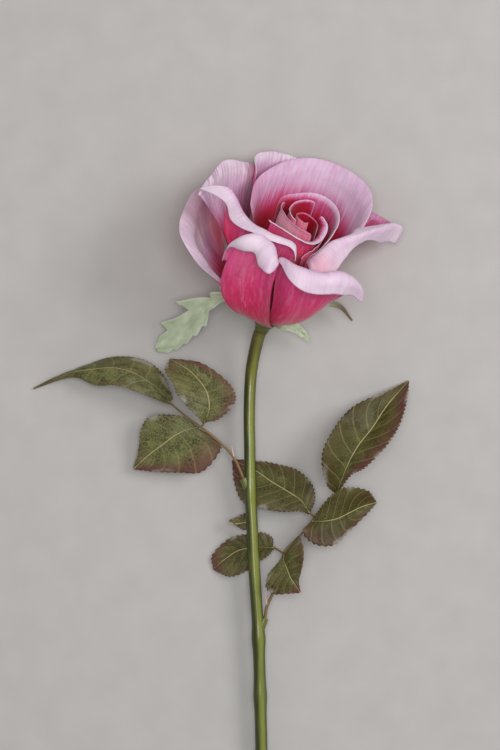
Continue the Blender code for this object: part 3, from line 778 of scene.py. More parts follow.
    def marks(self, u: float, v: float) -> dict[str, float]:
        """Works out where the dye, its fading, the painted salmon glow and the painted shade in the pleats
        lie.

        Args:
            u: The place across, from 0 to 1.
            v: The place along, from 0 to 1.

        Returns:
            How full the dye is, up to a little over 1; how far up the outer face the place lies,
            between what the neighbours hide and the crest; and how strong each of the others is.
        """
        reach = v * self.top
        more = self.tide[0] * (1 - u) ** 2 + self.tide[1] * u ** 2
        level = 1 - (reach - more - self.deep) / (self.pale - self.deep)
        if level < 1:
            level = blend(max(level, 0.0), 1.0, blend(*self.wash, u))
        if self.hidden:
            reach = (reach - self.hidden) / (self.CREST_SHARE - self.hidden)
        # A salmon patch painted where light would come through the cloth.
        glow, s, t = self.painted_glow
        return {
            "dye": min(level + 0.14 * ripple(self.seed + 9, 2.2 * u, 1.3 * v), 1.3),
            "reach": reach,
            "fade": clamp(self.fade + 0.5 * ripple(self.seed + 11, 2.6 * u, 2.2 * v) - 0.05, 0.0, 0.85),
            "painted_glow": glow * math.exp(-((2 * u - 1 - s) / 0.3) ** 2 - ((v - t) / 0.16) ** 2),
            "pleat_shade": self.pleat_shade * clamp(0.6 + ripple(self.seed + 13, 2.5 * u, 2 * v)),
        }

    def relief(self, u: float, v: float) -> float:
        """Raises the rim's waves, two sizes of them, and the pressed ribs below it.

        Args:
            u: The place across, from 0 to 1.
            v: The place along, from 0 to 1.

        Returns:
            The height, in millimetres.
        """
        waves = ripple(self.seed, 6.0 * u, 1.5 * v) + 0.5 * ripple(self.seed + 3, 17.0 * u, 2.5 * v)
        ribs = 0.28 * ripple(self.seed + 5, 38.0 * u, 1.2 * v)
        return self.ruffle * (ease((v - 0.35) / 0.6) * waves + 0.5 * ease(v / 0.3) * ribs)

    def build(self, cloth: Sequence[Material]) -> None:
        """Makes the petal and dresses it.

        Args:
            cloth: The materials of its faces.
        """
        wide = max(self.flat_width(1, v) for v in (0.5, 0.8))
        turn = HEAD.to_3x3()
        axis, middle = turn.col[2], turn @ self.point(0, 0.5)
        inward = axis * 0.6 - (middle - axis * middle.dot(axis)).normalized()
        blank = self.mesh(min(round(2 * wide / self.CELL), self.COLUMNS), self.ROWS, inward)
        thicken(add_piece(blank, cloth, "petal_cloth", self.name), self.CLOTH, two_faced=True)
        log.info("%s: %.0f mm long", self.name, self.length)


PETALS = (
    Petal("petal_outer_front_left", 0, 233, 20, 11, 100, 3.5,
          radius=(36.8, 37.5, 33.5, 28.8, 28.5, 31.5, 32), height=(33.5, 43, 50.5, 51, 49, 46.3, 43.5),
          lip=(1, 2.5, 11, 9.5, 12, 9, 3), brim=(-175, -175, -150, -110, -85, -65, -50),
          claw=1.8, belly=1.15, veer=14, bulge=(0.38, 0.42), corner=0.03, pale=0.84, deep=0.5),
    Petal("petal_outer_front_right", 1, 292, 42, 12, (100, 100, 100, 100, 92, 70, 48), 3.5,
          radius=(25.5, 27, 32, 29.5, 31.5, 34.3, 34.5), height=(43.5, 45.5, 46.6, 44.2, 45.2, 40, 33.3),
          lip=(1.5, 3.5, 9.5, 10, 11, 9.5, 6.5), brim=(-50, -60, -62, -75, -95, -100, -60), roll=0.6,
          claw=1.0, belly=0.78, veer=6, bulge=(0.34, 0.38), corner=0.03,
          pale=0.84, deep=0.5, fade=0.03),
    Petal("petal_outer_left", 2, 166.5, 36.5, 18, (66, 66, 66, 62, 52), 10,
          radius=(45, 54, 51.5, 49.5, 31), height=(29, 37, 35.5, 31, 16),
          claw=0.7, belly=0.75, veer=-4, flap=(0, 2, 4, 7, 8), pale=0.45, deep=0.12, tide=(0.12, 0.1),
          painted_glow=(0.95, -0.8, 0.62), pleat_shade=0.4),
    Petal("petal_outer_back_left", 3, 142, 36, 28, (72, 72, 72, 72, 66, 52, 42), 10,
          radius=(52, 51, 48, 47.5, 45.5, 47, 48), height=(46, 49, 52.5, 56, 55, 52, 50),
          claw=0.6, belly=0.6, veer=-8, corner=0.02, pale=0.66, deep=0.25, pleat_shade=0.9),
    Petal("petal_outer_back_right", 4, 64, 32, 29, (50, 54, 68, 75, 75), 10,
          radius=(53, 58.5, 50.5, 46, 39.5), height=(49, 45, 44.5, 37, 25), claw=0.6, belly=0.5, veer=8,
          bulge=(0.4, 0.36), corner=0.02, pale=0.66, deep=0.3, wash=(0.4, 0.4), pleat_shade=0.5),
    Petal("petal_outer_back", 5, 95, 27, 34, 72, 10,
          radius=(46, 50, 55, 50.5, 44), height=(42, 48, 55, 56.5, 55), bulge=(0.4, 0.36),
          pale=0.74, deep=0.3, pleat_shade=0.5),
    Petal("petal_outer_right", 6, -20, 50, 33, (85, 85, 85, 80, 70, 58, 50), 2.6,
          radius=(16.7, 16.8, 16.4, 17.4, 28, 42.7, 55), height=(40, 43.5, 47.1, 50.2, 53.8, 53.6, 49.5),
          lip=(6, 10, 12, 9.5, 5, 10.5, 11.5), brim=(-40, -50, -60, -60, -90, -100, -98), roll=0.4,
          claw=0.6, belly=0.5, bulge=(0.42, 0.32), flap=(0, 0, 0, 0, 3, 14, 24), corner=0.0,
          pale=0.66, deep=0.2, tide=(0.25, 0), painted_glow=(0.4, -0.6, 0.9)),
    Petal("petal_middle_back", 7, 83, 66, 37, 76, 12,
          radius=(27.5, 32.7, 46.5, 50.5, 40, 29.5, 26.5), height=(46, 50.8, 59.2, 59.5, 53, 48, 45),
          pale=0.68, deep=0.5, tide=(-0.22, -0.06), wash=(0.06, 0.4), pleat_shade=0.15),
    Petal("petal_middle_front_left", 8, 222, 45, 45, 100, 3,
          radius=(36.5, 31.5, 28, 24, 19.5, 18.5, 20), height=(57, 53, 51, 51, 50.5, 49, 43.5),
          lip=(13, 5, 6, 4.5, 3.5, 3, 2), brim=(-44, -40, -60, -50, -50, -40, -30),
          belly=0.75, veer=12, corner=0.0, pale=0.84, deep=0.5, hidden=0.3),
    Petal("petal_inner_back", 9, 54, 111, 48, 85, 5,
          radius=(12.7, 12.9, 15, 21, 16.8, 14, 13.6), height=(41.5, 44.6, 50.5, 57, 56.2, 55.5, 55),
          brim=(50, 50), pale=0.86, deep=0.5, tide=(-0.3, 0.2), hidden=0.5, fade=0.1),
    Petal("petal_inner_right", 10, -22, 53, 60, 90, 3,
          radius=(13.2, 11.7, 11, 12.4, 13), height=(41.5, 43.8, 46.3, 49, 48),
          brim=(50, 50), pale=0.86, deep=0.55, hidden=0.5, fade=0.1),
    Petal("petal_inner_front", 11, 305, 90, 60, 90, 2,
          radius=(20, 15.5, 10.9, 10.3, 9.8), height=(54, 52, 48.5, 53, 54),
          lip=(1, 1, 1.5, 1, 0), brim=(20, 10, 0, 20, 40), bulge=(0.42, 0.33),
          pale=0.9, deep=0.6, hidden=0.45, fade=0.05),
    Petal("petal_bud_left", 12, 225, 85, 66, 92, 2,
          radius=(12.5, 11.5, 7, 7, 8.5), height=(56, 55, 52.5, 51, 50), brim=(50, 50), corner=0.55,
          pale=0.86, deep=0.6, hidden=0.45, fade=0.55),
    Petal("petal_bud_back", 13, 150, 80, 70, 94, 2,
          radius=(16, 12, 8, 6.5, 5.5), height=(57, 56.5, 55, 54.5, 53), brim=(50, 50), corner=0.55,
          pale=0.84, deep=0.58, hidden=0.5, fade=0.3),
    Petal("petal_bud_heart", 14, 150, 175, 76, 94, 1,
          radius=(7.9, 6.3, 3.8, 3.3, 2.6), height=(51, 53, 54, 53.5, 53), brim=(60, 60), corner=0.55,
          pale=0.88, deep=0.6, hidden=0.55, fade=0.3),
)


@dataclass
class Bloom:
    """The flower: its petals, seated one above the other on the hip's peg."""

    petals: tuple[Petal, ...] = PETALS
    cloth: PetalCloth = PetalCloth()

    def build(self) -> None:
        """Makes every petal in its cloth."""
        finishes = self.cloth.finishes()
        for petal in self.petals:
            petal.build(finishes)


@dataclass(frozen=True)
class LeafCloth:
    """Woven polyester printed with leaf green, embossed with veins and dipped in clear latex.

    Attributes:
        blade: The printed green, in its shade and its light.
        vein: The yellow of the ribs.
        net: The fine veins between them.
        flush: The wine colour that is sprayed on the margins.
        sere_and_shade: The brown sprayed on the older leaves, dark enough to paint their shade as well.
        painted_glint: The pale painted highlight in spots along the margins.
        net_size: The size of one cell of the fine veins, in millimetres.
        rib_width: The width of the middle rib's print, in millimetres.
        side_veins: How many veins leave the middle rib on each side.
        sweep: How far a side vein runs towards the tip, in spacings.
        cloud: The size of the light and dark places in the print, in millimetres.
        wander: The same of the bends in a side vein.
        smear: The same of the glossy and dull places in the latex.
    """

    blade: tuple[str, str] = ("363A20", "6C6F46")
    vein: str = "B3AA78"
    net: str = "8F8A58"
    flush: str = "66343A"
    sere_and_shade: str = "3A3000"
    painted_glint: str = "BDBBB2"
    net_size: float = 1.1
    rib_width: float = 0.3
    side_veins: float = 8.0
    sweep: float = 1.9
    cloud: float = 8.0
    wander: float = 7.0
    smear: float = 5.0

    def material(self) -> Material:
        """Makes the blade's printed, embossed and coated surface.

        Returns:
            Its material.
        """
        skin = Surface("coated_leaf_cloth")
        fine = self.fine_veins(skin)
        side, rib = self.side_vein(skin), self.middle_rib(skin)
        green = skin.add("ValToRGB", skin.grain(self.cloud, self.cloud, 4.0),
                         stops=((0.36, self.blade[0]), (0.62, self.blade[1])))
        printed = skin.add("Math", fine, 0.5, operation="MULTIPLY")
        # Over the print: the brown with its painted shade, the wine flush, the veins and the painted
        # highlight along the margins.
        colour = skin.lay(green, (printed, self.net), ("sere_and_shade", self.sere_and_shade), ("flush", self.flush),
                          (side, self.vein), (rib, self.vein), ("painted_glint", self.painted_glint))
        raised = skin.add("Math", side, rib, operation="MAXIMUM")
        height = skin.add("Math", fine, -0.4, raised, operation="MULTIPLY_ADD")
        smeared = skin.grain(self.smear, self.smear)
        gloss = skin.add("MapRange", smeared, named={"To Min": 0.3, "To Max": 0.55})
        latex = {"Specular IOR Level": 0.13, "Coat Weight": 0.07, "Coat Roughness": 0.2}
        return skin.dress({"Base Color": colour, "Roughness": gloss, **latex}, height, 0.5, 0.3)

    def side_vein(self, skin: Surface) -> Socket:
        """Prints the side veins, which run from the middle rib towards the tip and wander a little.

        Args:
            skin: The blade's material.

        Returns:
            How full their print is.
        """
        across = skin.add("Attribute", out="Fac", attribute_name="across")
        up = skin.add("Attribute", out="Fac", attribute_name="length")
        centred = skin.add("Math", skin.grain(self.wander, self.wander), 0.5, operation="SUBTRACT")
        stray = skin.add("Math", centred, 0.25, operation="MULTIPLY")
        out = skin.add("Math", across, operation="ABSOLUTE")
        reach = skin.add("Math", up, self.side_veins, operation="MULTIPLY")
        swept = skin.add("Math", out, -self.sweep, reach, operation="MULTIPLY_ADD")
        phase = skin.add("Math", skin.add("Math", swept, stray, operation="ADD"), operation="FRACT")
        off = skin.add("Math", skin.add("Math", phase, 0.5, operation="SUBTRACT"), operation="ABSOLUTE")
        return skin.add("MapRange", off, named={"From Min": 0.06, "From Max": 0.02, "To Max": 0.22})

    def middle_rib(self, skin: Surface) -> Socket:
        """Prints the middle rib.

        Args:
            skin: The blade's material.

        Returns:
            How full its print is.
        """
        flat = skin.add("SeparateXYZ", skin.add("UVMap", uv_map="cloth"))
        off = skin.add("Math", flat, operation="ABSOLUTE")
        wide = self.rib_width / UV_UNIT
        return skin.add("MapRange", off, named={"From Min": wide, "From Max": wide * 0.4})

    def fine_veins(self, skin: Surface) -> Socket:
        """Embosses the net of fine veins.

        Args:
            skin: The blade's material.

        Returns:
            How deep it is pressed.
        """
        uv = skin.add("UVMap", uv_map="cloth")
        cells = skin.add("Mapping", uv, named={"Scale": (UV_UNIT / self.net_size,) * 3})
        edge = skin.add("TexVoronoi", cells, named={"Scale": 1.0}, feature="DISTANCE_TO_EDGE")
        return skin.add("MapRange", edge, named={"From Min": 0.14, "From Max": 0.03})


LEAF_CLOTH = LeafCloth()


@dataclass
class Leaf(Blank):
    """One leaflet, in millimetres and degrees.

    Attributes:
        base: Where its stalk ends, in the design frame.
        heading: The way it points, from X towards Y.
        rib: The middle rib in the leaf's own frame, Y towards the tip, with a height each.
        left: The left margin.
        right: The right margin.
        fold: How far each side is lifted off the rib, left then right.
        teeth: The number of teeth on a side.
        flush: How much wine colour the left and right margins and the tip have.
        sere_and_shade: How brown it is, which also lays painted shade.
        painted_glint: How strong the painted highlight in spots along its margins is.
        quilt: How far the blade swells between its side veins.
        seed: Which part of the noise its waves read.
    """

    base: Point
    heading: float
    rib: tuple[Point, ...]
    left: tuple[Pair, ...]
    right: tuple[Pair, ...]
    fold: Pair = (12.0, 12.0)
    teeth: int = 28
    flush: tuple[float, float, float] = (0.2, 0.2, 0.4)
    sere_and_shade: float = 0.0
    painted_glint: float = 0.8
    quilt: float = 0.09
    seed: int = 0

    # The height of a tooth, half the width at each end, the cloth, and the grid it is bent from.
    TOOTH = 0.8
    FOOT_HALF = 0.6
    TIP_HALF = 0.35
    CLOTH = 0.32
    COLUMNS = 28
    ROWS_PER_TOOTH = 5

    @cached_property
    def own(self) -> Matrix:
        """The leaf's own frame in the design frame."""
        turn = Matrix.Rotation(math.radians(self.heading - 90), 4, "Z")
        return Matrix.Translation(Vector(self.base)) @ turn

    def point(self, x: float, t: float, tooth: float = 0.0) -> Vector:
        """Returns a point of the leaf in its own frame.

        Args:
            x: From -1 at its left margin to 1 at its right.
            t: From 0 at its base to 1 at its tip.
            tooth: How far the margin stands out there.

        Returns:
            The point.
        """
        rib = along_points(self.rib, t)
        side = self.right if x > 0 else self.left
        out = 1 if x > 0 else -1
        tip = (self.rib[-1][0] + self.TIP_HALF * out, self.rib[-1][1])
        margin = along_points(((self.FOOT_HALF * out, 0), *side, tip), t)
        reach = margin - rib.xy
        wide = reach.length
        if wide > 0:
            reach *= (wide + tooth) / wide
        fold = math.radians(self.fold[1 if x > 0 else 0])
        spot = rib.xy + reach * abs(x)
        return Vector((spot.x, spot.y, rib.z + math.sin(fold) * wide * abs(x)))

    def tooth_at(self, t: float) -> float:
        """Cuts the saw edge, each tooth of which leans towards the tip.

        Args:
            t: The place along the leaf.

        Returns:
            How far the margin stands out there, in millimetres.
        """
        f = (t * self.teeth) % 1.0
        rise = f / 0.72 if f < 0.72 else (1 - f) / 0.28
        return self.TOOTH * (rise - 0.5) * ease(t / 0.06) * ease((1 - t) / 0.08)

    @cached_property
    def length(self) -> float:
        """The distance from the leaf's base to its tip, in millimetres."""
        return (Vector(self.rib[-1][:2]) - Vector(self.rib[0][:2])).length

    @cached_property
    def half_width(self) -> float:
        """Half its width at the middle of its length, in millimetres."""
        return (self.point(1, 0.5).xy - self.point(-1, 0.5).xy).length / 2

    def place(self, u: float, v: float) -> Vector:
        """Returns the design-frame point at (u, v)."""
        x = 2 * u - 1
        return self.own @ self.point(x, v, self.tooth_at(v) * abs(x) ** 6)

    def flat(self, u: float, v: float) -> Pair:
        """Returns the flat cloth's own coordinates there."""
        here = self.point(2 * u - 1, v).xy - along_points(self.rib, v).xy
        return math.copysign(here.length, 2 * u - 1), v * self.length

    def marks(self, u: float, v: float) -> dict[str, float]:
        """Works out where the leaf's tints lie.

        Args:
            u: The place across, from 0 to 1.
            v: The place along, from 0 to 1.

        Returns:
            The leaf's own coordinates, how much wine colour is sprayed on there, how much dark brown with
            painted shade it has, and how strong the painted highlight is, which lies in spots along the
            margins.
        """
        x = 2 * u - 1
        left, right, tip = self.flush
        wine = (right if x > 0 else left) * ease((abs(x) - 0.35) / 0.6) + tip * ease((v - 0.7) / 0.3)
        # A painted highlight in spots along the margins, where the glossy latex would catch a lamp.
        glint_spots = self.painted_glint * ease((abs(x) - 0.76) / 0.24) * (ripple(self.seed + 14, 3 * u, 9 * v) - 0.12)
        return {
            "across": x,
            "length": v,
            "flush": clamp(wine + 0.25 * ripple(self.seed, 2 * u, 3 * v) * min(1, 3 * wine)),
            # The dark brown also stands as painted shade on the leaves that carry it.
            "sere_and_shade": clamp(self.sere_and_shade * (1 + 0.6 * ripple(self.seed + 8, 2.5 * u, 3 * v))),
            "painted_glint": clamp(glint_spots * 2.4, 0.0, 0.42),
        }

    def relief(self, u: float, v: float) -> float:
        """Raises the blade between its veins, sinks the middle rib and waves the margins.

        Args:
            u: The place across, from 0 to 1.
            v: The place along, from 0 to 1.

        Returns:
            The height, in millimetres.
        """
        x = 2 * u - 1
        phase = v * LEAF_CLOTH.side_veins - LEAF_CLOTH.sweep * abs(x)
        swell = self.quilt * math.cos(2 * math.pi * phase) * ease(abs(x) / 0.2) * ease((1 - abs(x)) / 0.2)
        rib = -0.4 * math.exp(-(x * self.half_width / 0.9) ** 2)
        return swell + rib + 0.5 * ripple(self.seed + 4, 3 * u, 4 * v) * ease((abs(x) - 0.3) / 0.7)

    def build(self, cloth: Material) -> None:
        """Makes the leaflet and dresses it.

        Args:
            cloth: Its material.
        """
        blank = self.mesh(self.COLUMNS, self.teeth * self.ROWS_PER_TOOTH, Vector((0, 0, 1)))
        thicken(add_piece(blank, (cloth,), "leaf_cloth", self.name), self.CLOTH)
        log.info("%s: %.0f by %.0f mm", self.name, self.length, 2 * self.half_width)


LEFT_LEAVES = (
    Leaf("leaf_left_terminal", (-43.5, -38.5, 11.5), 174,
         rib=((0, 0, 0), (9.5, 12, 2), (13.5, 25, 2), (11.5, 38.5, -1), (7.5, 51.5, -5.5), (0, 63.5, -10.6)),
         left=((1, 6), (4, 16.5), (5.5, 26), (4.5, 35), (7, 46)),
         right=((3.5, -0.5), (13.5, 5.5), (18.5, 15), (18, 29), (12, 43)), fold=(8, -14),
         teeth=34, flush=(0.1, 0.1, 0.4), sere_and_shade=0.1, seed=21),
    Leaf("leaf_left_upper", (-28, -47.5, 15.5), 118,
         rib=((0, 0, 0), (5, 4.5, 1), (7.5, 10.5, 1), (7.5, 16.5, 0), (5, 25, -2), (0, 33, -5)),
         left=((-1, 3), (-3, 10.5), (-4.5, 17.5), (-4, 23), (-4.5, 29.5)),
         right=((6.5, -1.5), (14.5, 0.5), (18.5, 4.5), (18, 12.5), (11.5, 25)), fold=(24, 10),
         teeth=22, flush=(0.1, 0.5, 0.3), seed=22),
    Leaf("leaf_left_lower", (-31, -49.5, 12.5), -147,
         rib=((0, 0, 0), (2, 5.5, 0.5), (2.5, 12, 0), (2, 20, -2), (1.5, 26.5, -4.5), (0, 35, -8)),
         left=((-8.5, -4), (-14, -3.5), (-18, 9), (-12.5, 18.5), (-6, 28)),
         right=((6.5, 2), (12.5, 8.5), (16, 16), (13, 22.5), (7, 27.5)), fold=(-6, -4),
         teeth=24, flush=(0.7, 0.1, 0.3), seed=23),
)

RIGHT_LEAVES = (
    Leaf("leaf_right_terminal", (32, -80, 13.5), 57,
         rib=((0, 0, 0), (-3, 13, 3), (-4, 24, 4), (-3, 34, 2), (-2.5, 47, -4), (0, 61.5, -12.6)),
         left=((-7, 2), (-15.5, 11.5), (-17.5, 24.5), (-15.5, 37.5), (-7.5, 50.5)),
         right=((0.5, 10.5), (4, 18), (6.5, 31), (6.5, 42), (4, 52.5)), fold=(12, 30),
         teeth=34, flush=(0.1, 0.6, 0.3), sere_and_shade=0.6, seed=24),
    Leaf("leaf_right_lower", (21, -92, 15), 16,
         rib=((0, 0, 0), (1.5, 5.5, 0.5), (2, 11.5, 0.5), (1, 17.5, 0), (0, 24, -1.5), (0, 30.5, -4)),
         left=((-3.5, 3.5), (-7, 8), (-10.5, 15), (-10, 21.5), (-6, 28.5)),
         right=((3, -5.5), (10, -2), (13, 6.5), (9, 15), (4, 24.5)), fold=(10, 6),
         teeth=20, flush=(0.1, 0.4, 0.2), sere_and_shade=0.7, seed=25),
    Leaf("leaf_right_upper", (20, -88.5, 11), 146,
         rib=((0, 0, 0), (2.5, 6.5, -1.2), (2.5, 14, -3.4), (2, 22.5, -6), (2, 32, -8.4), (0, 42.5, -10)),
         left=((-2, 4.5), (-6.5, 10.5), (-10.5, 19), (-13, 28), (-8, 36)),
         right=((6.5, 1.5), (11.5, 6.5), (13, 15), (10.5, 23.5), (6.5, 32.5)), fold=(4, 4),
         teeth=24, flush=(0.2, 0.2, 0.8), sere_and_shade=0.5, seed=26),
    Leaf("leaf_right_back", (3.5, -104.5, 6.5), -160,
         rib=((0, 0, 0), (2, 5, -1), (3.5, 10.5, -2.2), (4, 16, -3.4), (2.5, 22, -4.6), (0, 29.5, -5.6)),
         left=((-2.5, 3), (-4, 8.5), (-6, 15.5), (-6, 23), (-2.5, 27.5)),
         right=((4.5, -1), (8.5, 3), (10, 10), (10.5, 18), (6, 27.5)), fold=(3, 3),
         teeth=20, flush=(0.2, 0.2, 0.7), sere_and_shade=0.45, seed=27),
    Leaf("leaf_right_front", (8.5, -107, 13), -68,
         rib=((0, 0, 0), (1.5, 2.5, 1.5), (1.5, 6.5, 3.5), (1.5, 11, 5), (0.5, 15, 5.5), (0, 18.5, 5)),
         left=((-4.5, -2.5), (-9, -5.5), (-9, 0.5), (-6, 7), (-1.5, 13.5)),
         right=((4.5, 2.5), (10.5, 6), (13.5, 11), (11, 15), (5, 17)), fold=(10, -10),
         teeth=14, flush=(0.2, 0.2, 0.7), sere_and_shade=0.45, seed=28),
)

# The small curled leaf on the stem, behind it on the left.
BRACT = Leaf("bract", (-9.3, -93, 7.6), 188,
             rib=((0, 0, 0), (0, 1.5, -0.2), (0, 3, -0.3), (0, 4.4, -0.1), (0.5, 5.7, 0.3), (1.6, 7.2, 1)),
             left=((-3.6, -0.6), (-3.4, 1.2), (-2.4, 2.8), (-1, 4.2), (0.6, 5.6)),
             right=((4.2, -0.4), (4, 1.4), (3.2, 3.2), (2.6, 4.8), (2.4, 6.2)), fold=(6, 6),
             teeth=4, flush=(0.8, 0.6, 0.5), quilt=0.0, seed=29)


@dataclass(frozen=True)
class Moulding:
    """Injection-moulded polyethylene with a sprayed tint, glossy where the mould was polished; on the stem
    the pale strip along the top is a painted highlight.

    Attributes:
        name: The finish's name.
        light: The lighter tint, which on the stem is a painted highlight along the top.
        dark: The tint where it is full.
        bark: The second tint, sprayed on last.
        roughness: From its glossiest to its dullest.
        flow: The width and length of the faint flow lines, in millimetres.
    """

    name: str
    light: str
    dark: str
    bark: str
    roughness: Pair
    flow: Pair = (0.9, 12.0)

    def material(self) -> Material:
        """Makes the moulding's tinted surface, with its flow lines.

        Returns:
            Its material.
        """
        skin = Surface(self.name)
        lines = skin.grain(*self.flow)
        uneven = skin.add("Math", lines, 0.5, operation="SUBTRACT")
        sprayed = skin.add("Attribute", out="Fac", attribute_name="tint")
        tint = skin.add("Math", uneven, 0.5, sprayed, operation="MULTIPLY_ADD", use_clamp=True)
        # A low tint gives the light colour, which on the stem is a painted highlight.
        under = skin.add("ValToRGB", tint, stops=((0.2, self.light), (0.8, self.dark)))
        glossy, dull = self.roughness
        gloss = skin.add("MapRange", lines, named={"To Min": glossy, "To Max": dull})
        colour = skin.lay(under, ("bark", self.bark))
        return skin.dress({"Base Color": colour, "Roughness": gloss}, lines, 0.15, 0.2)


@dataclass
class Rod(Blank):
    """A closed tube of varying radius along a line.

    Attributes:
        name: Its name.
        line: The middle line at t from 0 to 1, in the design frame.
        radius: The radius at t, in millimetres.
        tint: How dark its tint is at (angle share, t).
        bark: How full the second tint is there.
    """

    line: Callable[[float], Vector]
    radius: Callable[[float], float]
    tint: Callable[[float, float], float] = lambda u, t: 0.5
    bark: Callable[[float, float], float] = lambda u, t: 0.0

    SEAM = Seam.TUBE

    # How far to each side of a place the line's direction is read.
    STRIDE = 0.004

    def place(self, u: float, v: float) -> Vector:
        """Returns the design-frame point at (u, v), with u running round the tube.

        Args:
            u: The share of a turn.
            v: The place along the line.

        Returns:
            The point.
        """
        ahead = self.line(min(v + self.STRIDE, 1)) - self.line(max(v - self.STRIDE, 0))
        side = ahead.normalized().cross(Vector((0, 0, 1))).normalized()
        up = side.cross(ahead.normalized())
        angle = 2 * math.pi * u
        return self.line(v) + (side * math.cos(angle) + up * math.sin(angle)) * self.radius(v)

    def flat(self, u: float, v: float) -> Pair:
        """Returns how far round and how far along the point lies, in millimetres."""
        return 2 * math.pi * u * self.radius(0.5), v * (self.line(1) - self.line(0)).length

    def marks(self, u: float, v: float) -> dict[str, float]:
        """Returns how full its tints are there."""
        return {"tint": self.tint(u, v), "bark": self.bark(u, v)}


def joined(name: str, meshes: Sequence[bpy.types.Mesh]) -> bpy.types.Mesh:
    """Gathers several closed meshes into one.

    Args:
        name: The new mesh's name.
        meshes: The meshes, which are used up.

    Returns:
        The new mesh, with its sharp edges crisp.
    """
    bm = bmesh.new()
    for mesh in meshes:
        bm.from_mesh(mesh)
        bpy.data.meshes.remove(mesh)
    made = bpy.data.meshes.new(name)
    bm.to_mesh(made)
    bm.free()
    made.shade_smooth()
    made.set_sharp_from_angle(angle=math.radians(SHARP))
    return made


# The line of each stub of the stem, from inside it to the mouth that takes a sprig's peg.
LEFT_STUB = ((-7.4, -78.6, 10.1), (-10.3, -72.6, 11.0))
RIGHT_STUB = ((-3.6, -144.5, 8.5), (-0.5, -136.5, 8.9))


@dataclass
class Stem:
    """The stem, with its shoulder under the hip and a stub for each sprig.

    Attributes:
        route: The middle line between the bend under the hip and the square end.
        swell: How far down the stem each node is, and how much thicker it is there.
        stubs: The line of each stub.
    """

    route: tuple[Point, ...] = (
        (-6.6, -24, 10.8), (-7.5, -42, 10), (-7.3, -60, 10), (-7.1, -78, 10), (-6.2, -95, 9.8),
        (-5.4, -112, 9.4), (-4.3, -129, 8.9), (-3.3, -146, 8.3), (-2.5, -175, 7.2), (-1.8, -205, 6.2),
        (-1, -240, 5.2), (-0.2, -280, 4.2), (0.5, -320, 3.4))
    swell: tuple[Pair, ...] = ((78, 0.35), (146, 0.5), (172, 0.4))
    stubs: tuple[tuple[Point, Point], ...] = (LEFT_STUB, RIGHT_STUB)

    # Radii and lengths from the socket under the hip down to the square end and the stubs.
    TOP_RADIUS = 2.9
    NECK_RADIUS = 2.55
    SQUARE_END = 6.0
    HIP_BOTTOM = -6.4
    SOCKET_GAP = 0.3
    BEND = 6.0
    STUB_RADIUS = 1.75
    STUB_FLARE = 0.5

    # Where the painted highlight runs along the stem's top, as a share of a turn.
    HIGHLIGHT_SIDE = 0.305

    def line(self, t: float) -> Vector:
        """Follows the middle line.

        Args:
            t: From 0 at the shoulder to 1 at the cut end.

        Returns:
            The design-frame point there.
        """
        shoulder = HEAD @ Vector((0, 0, self.HIP_BOTTOM - self.SOCKET_GAP))
        bend = HEAD @ Vector((0, 0, self.HIP_BOTTOM - self.BEND))
        level = Vector((STEM_END_SIDE, self.SQUARE_END - STEM_LENGTH, STEM_END_RADIUS))
        square = 1 - self.SQUARE_END / STEM_LENGTH
        if t > square:
            return level - Vector((0, (t - square) * STEM_LENGTH, 0))
        return along_points([shoulder, bend, *self.route, level], t / square)

    def radius(self, t: float) -> float:
        """Works out the stem's radius, with the swellings at its nodes.

        Args:
            t: From 0 at the shoulder to 1 at the cut end.

        Returns:
            The radius there, in millimetres.
        """
        y = self.line(t).y
        made = blend(self.NECK_RADIUS, STEM_END_RADIUS, -y / STEM_LENGTH)
        made += (self.TOP_RADIUS - self.NECK_RADIUS) * math.exp(-(y / 25) ** 2)
        return made + sum(more * math.exp(-((y + down) / 5) ** 2) for down, more in self.swell)

    def tint_and_highlight_at(self, u: float, t: float) -> float:
        """Returns how dark the spray is: full but for a painted highlight in a strip along the top."""
        painted_highlight = math.exp(-((u - self.HIGHLIGHT_SIDE) / 0.1) ** 2)
        return 0.85 - 0.75 * painted_highlight + 0.25 * ripple(31, 14 * t, 2 * u)

    def bark_at(self, u: float, t: float) -> float:
        """Returns how brown it is, which it is below the flower."""
        return 0.75 * (1 - ease(t / 0.22)) * (0.8 + 0.4 * ripple(33, 30 * t, 3 * u))

    def build(self, finish: Material) -> None:
        """Makes the stem and its stubs as one piece.

        Args:
            finish: Its material.
        """
        parts = [Rod("stem_main", self.line, self.radius, self.tint_and_highlight_at, self.bark_at).mesh(40, 260)]
        for number, (low, high) in enumerate(self.stubs):
            stub = Rod(f"stub_{number}", lambda t, a=Vector(low), b=Vector(high): a.lerp(b, t),
                       lambda t: self.STUB_RADIUS + self.STUB_FLARE * (1 - t))
            parts.append(stub.mesh(24, 8))
        add_piece(joined("stem", parts), (finish,), "stem_plastic", "stem")
        log.info("stem: %.0f mm long", STEM_LENGTH)


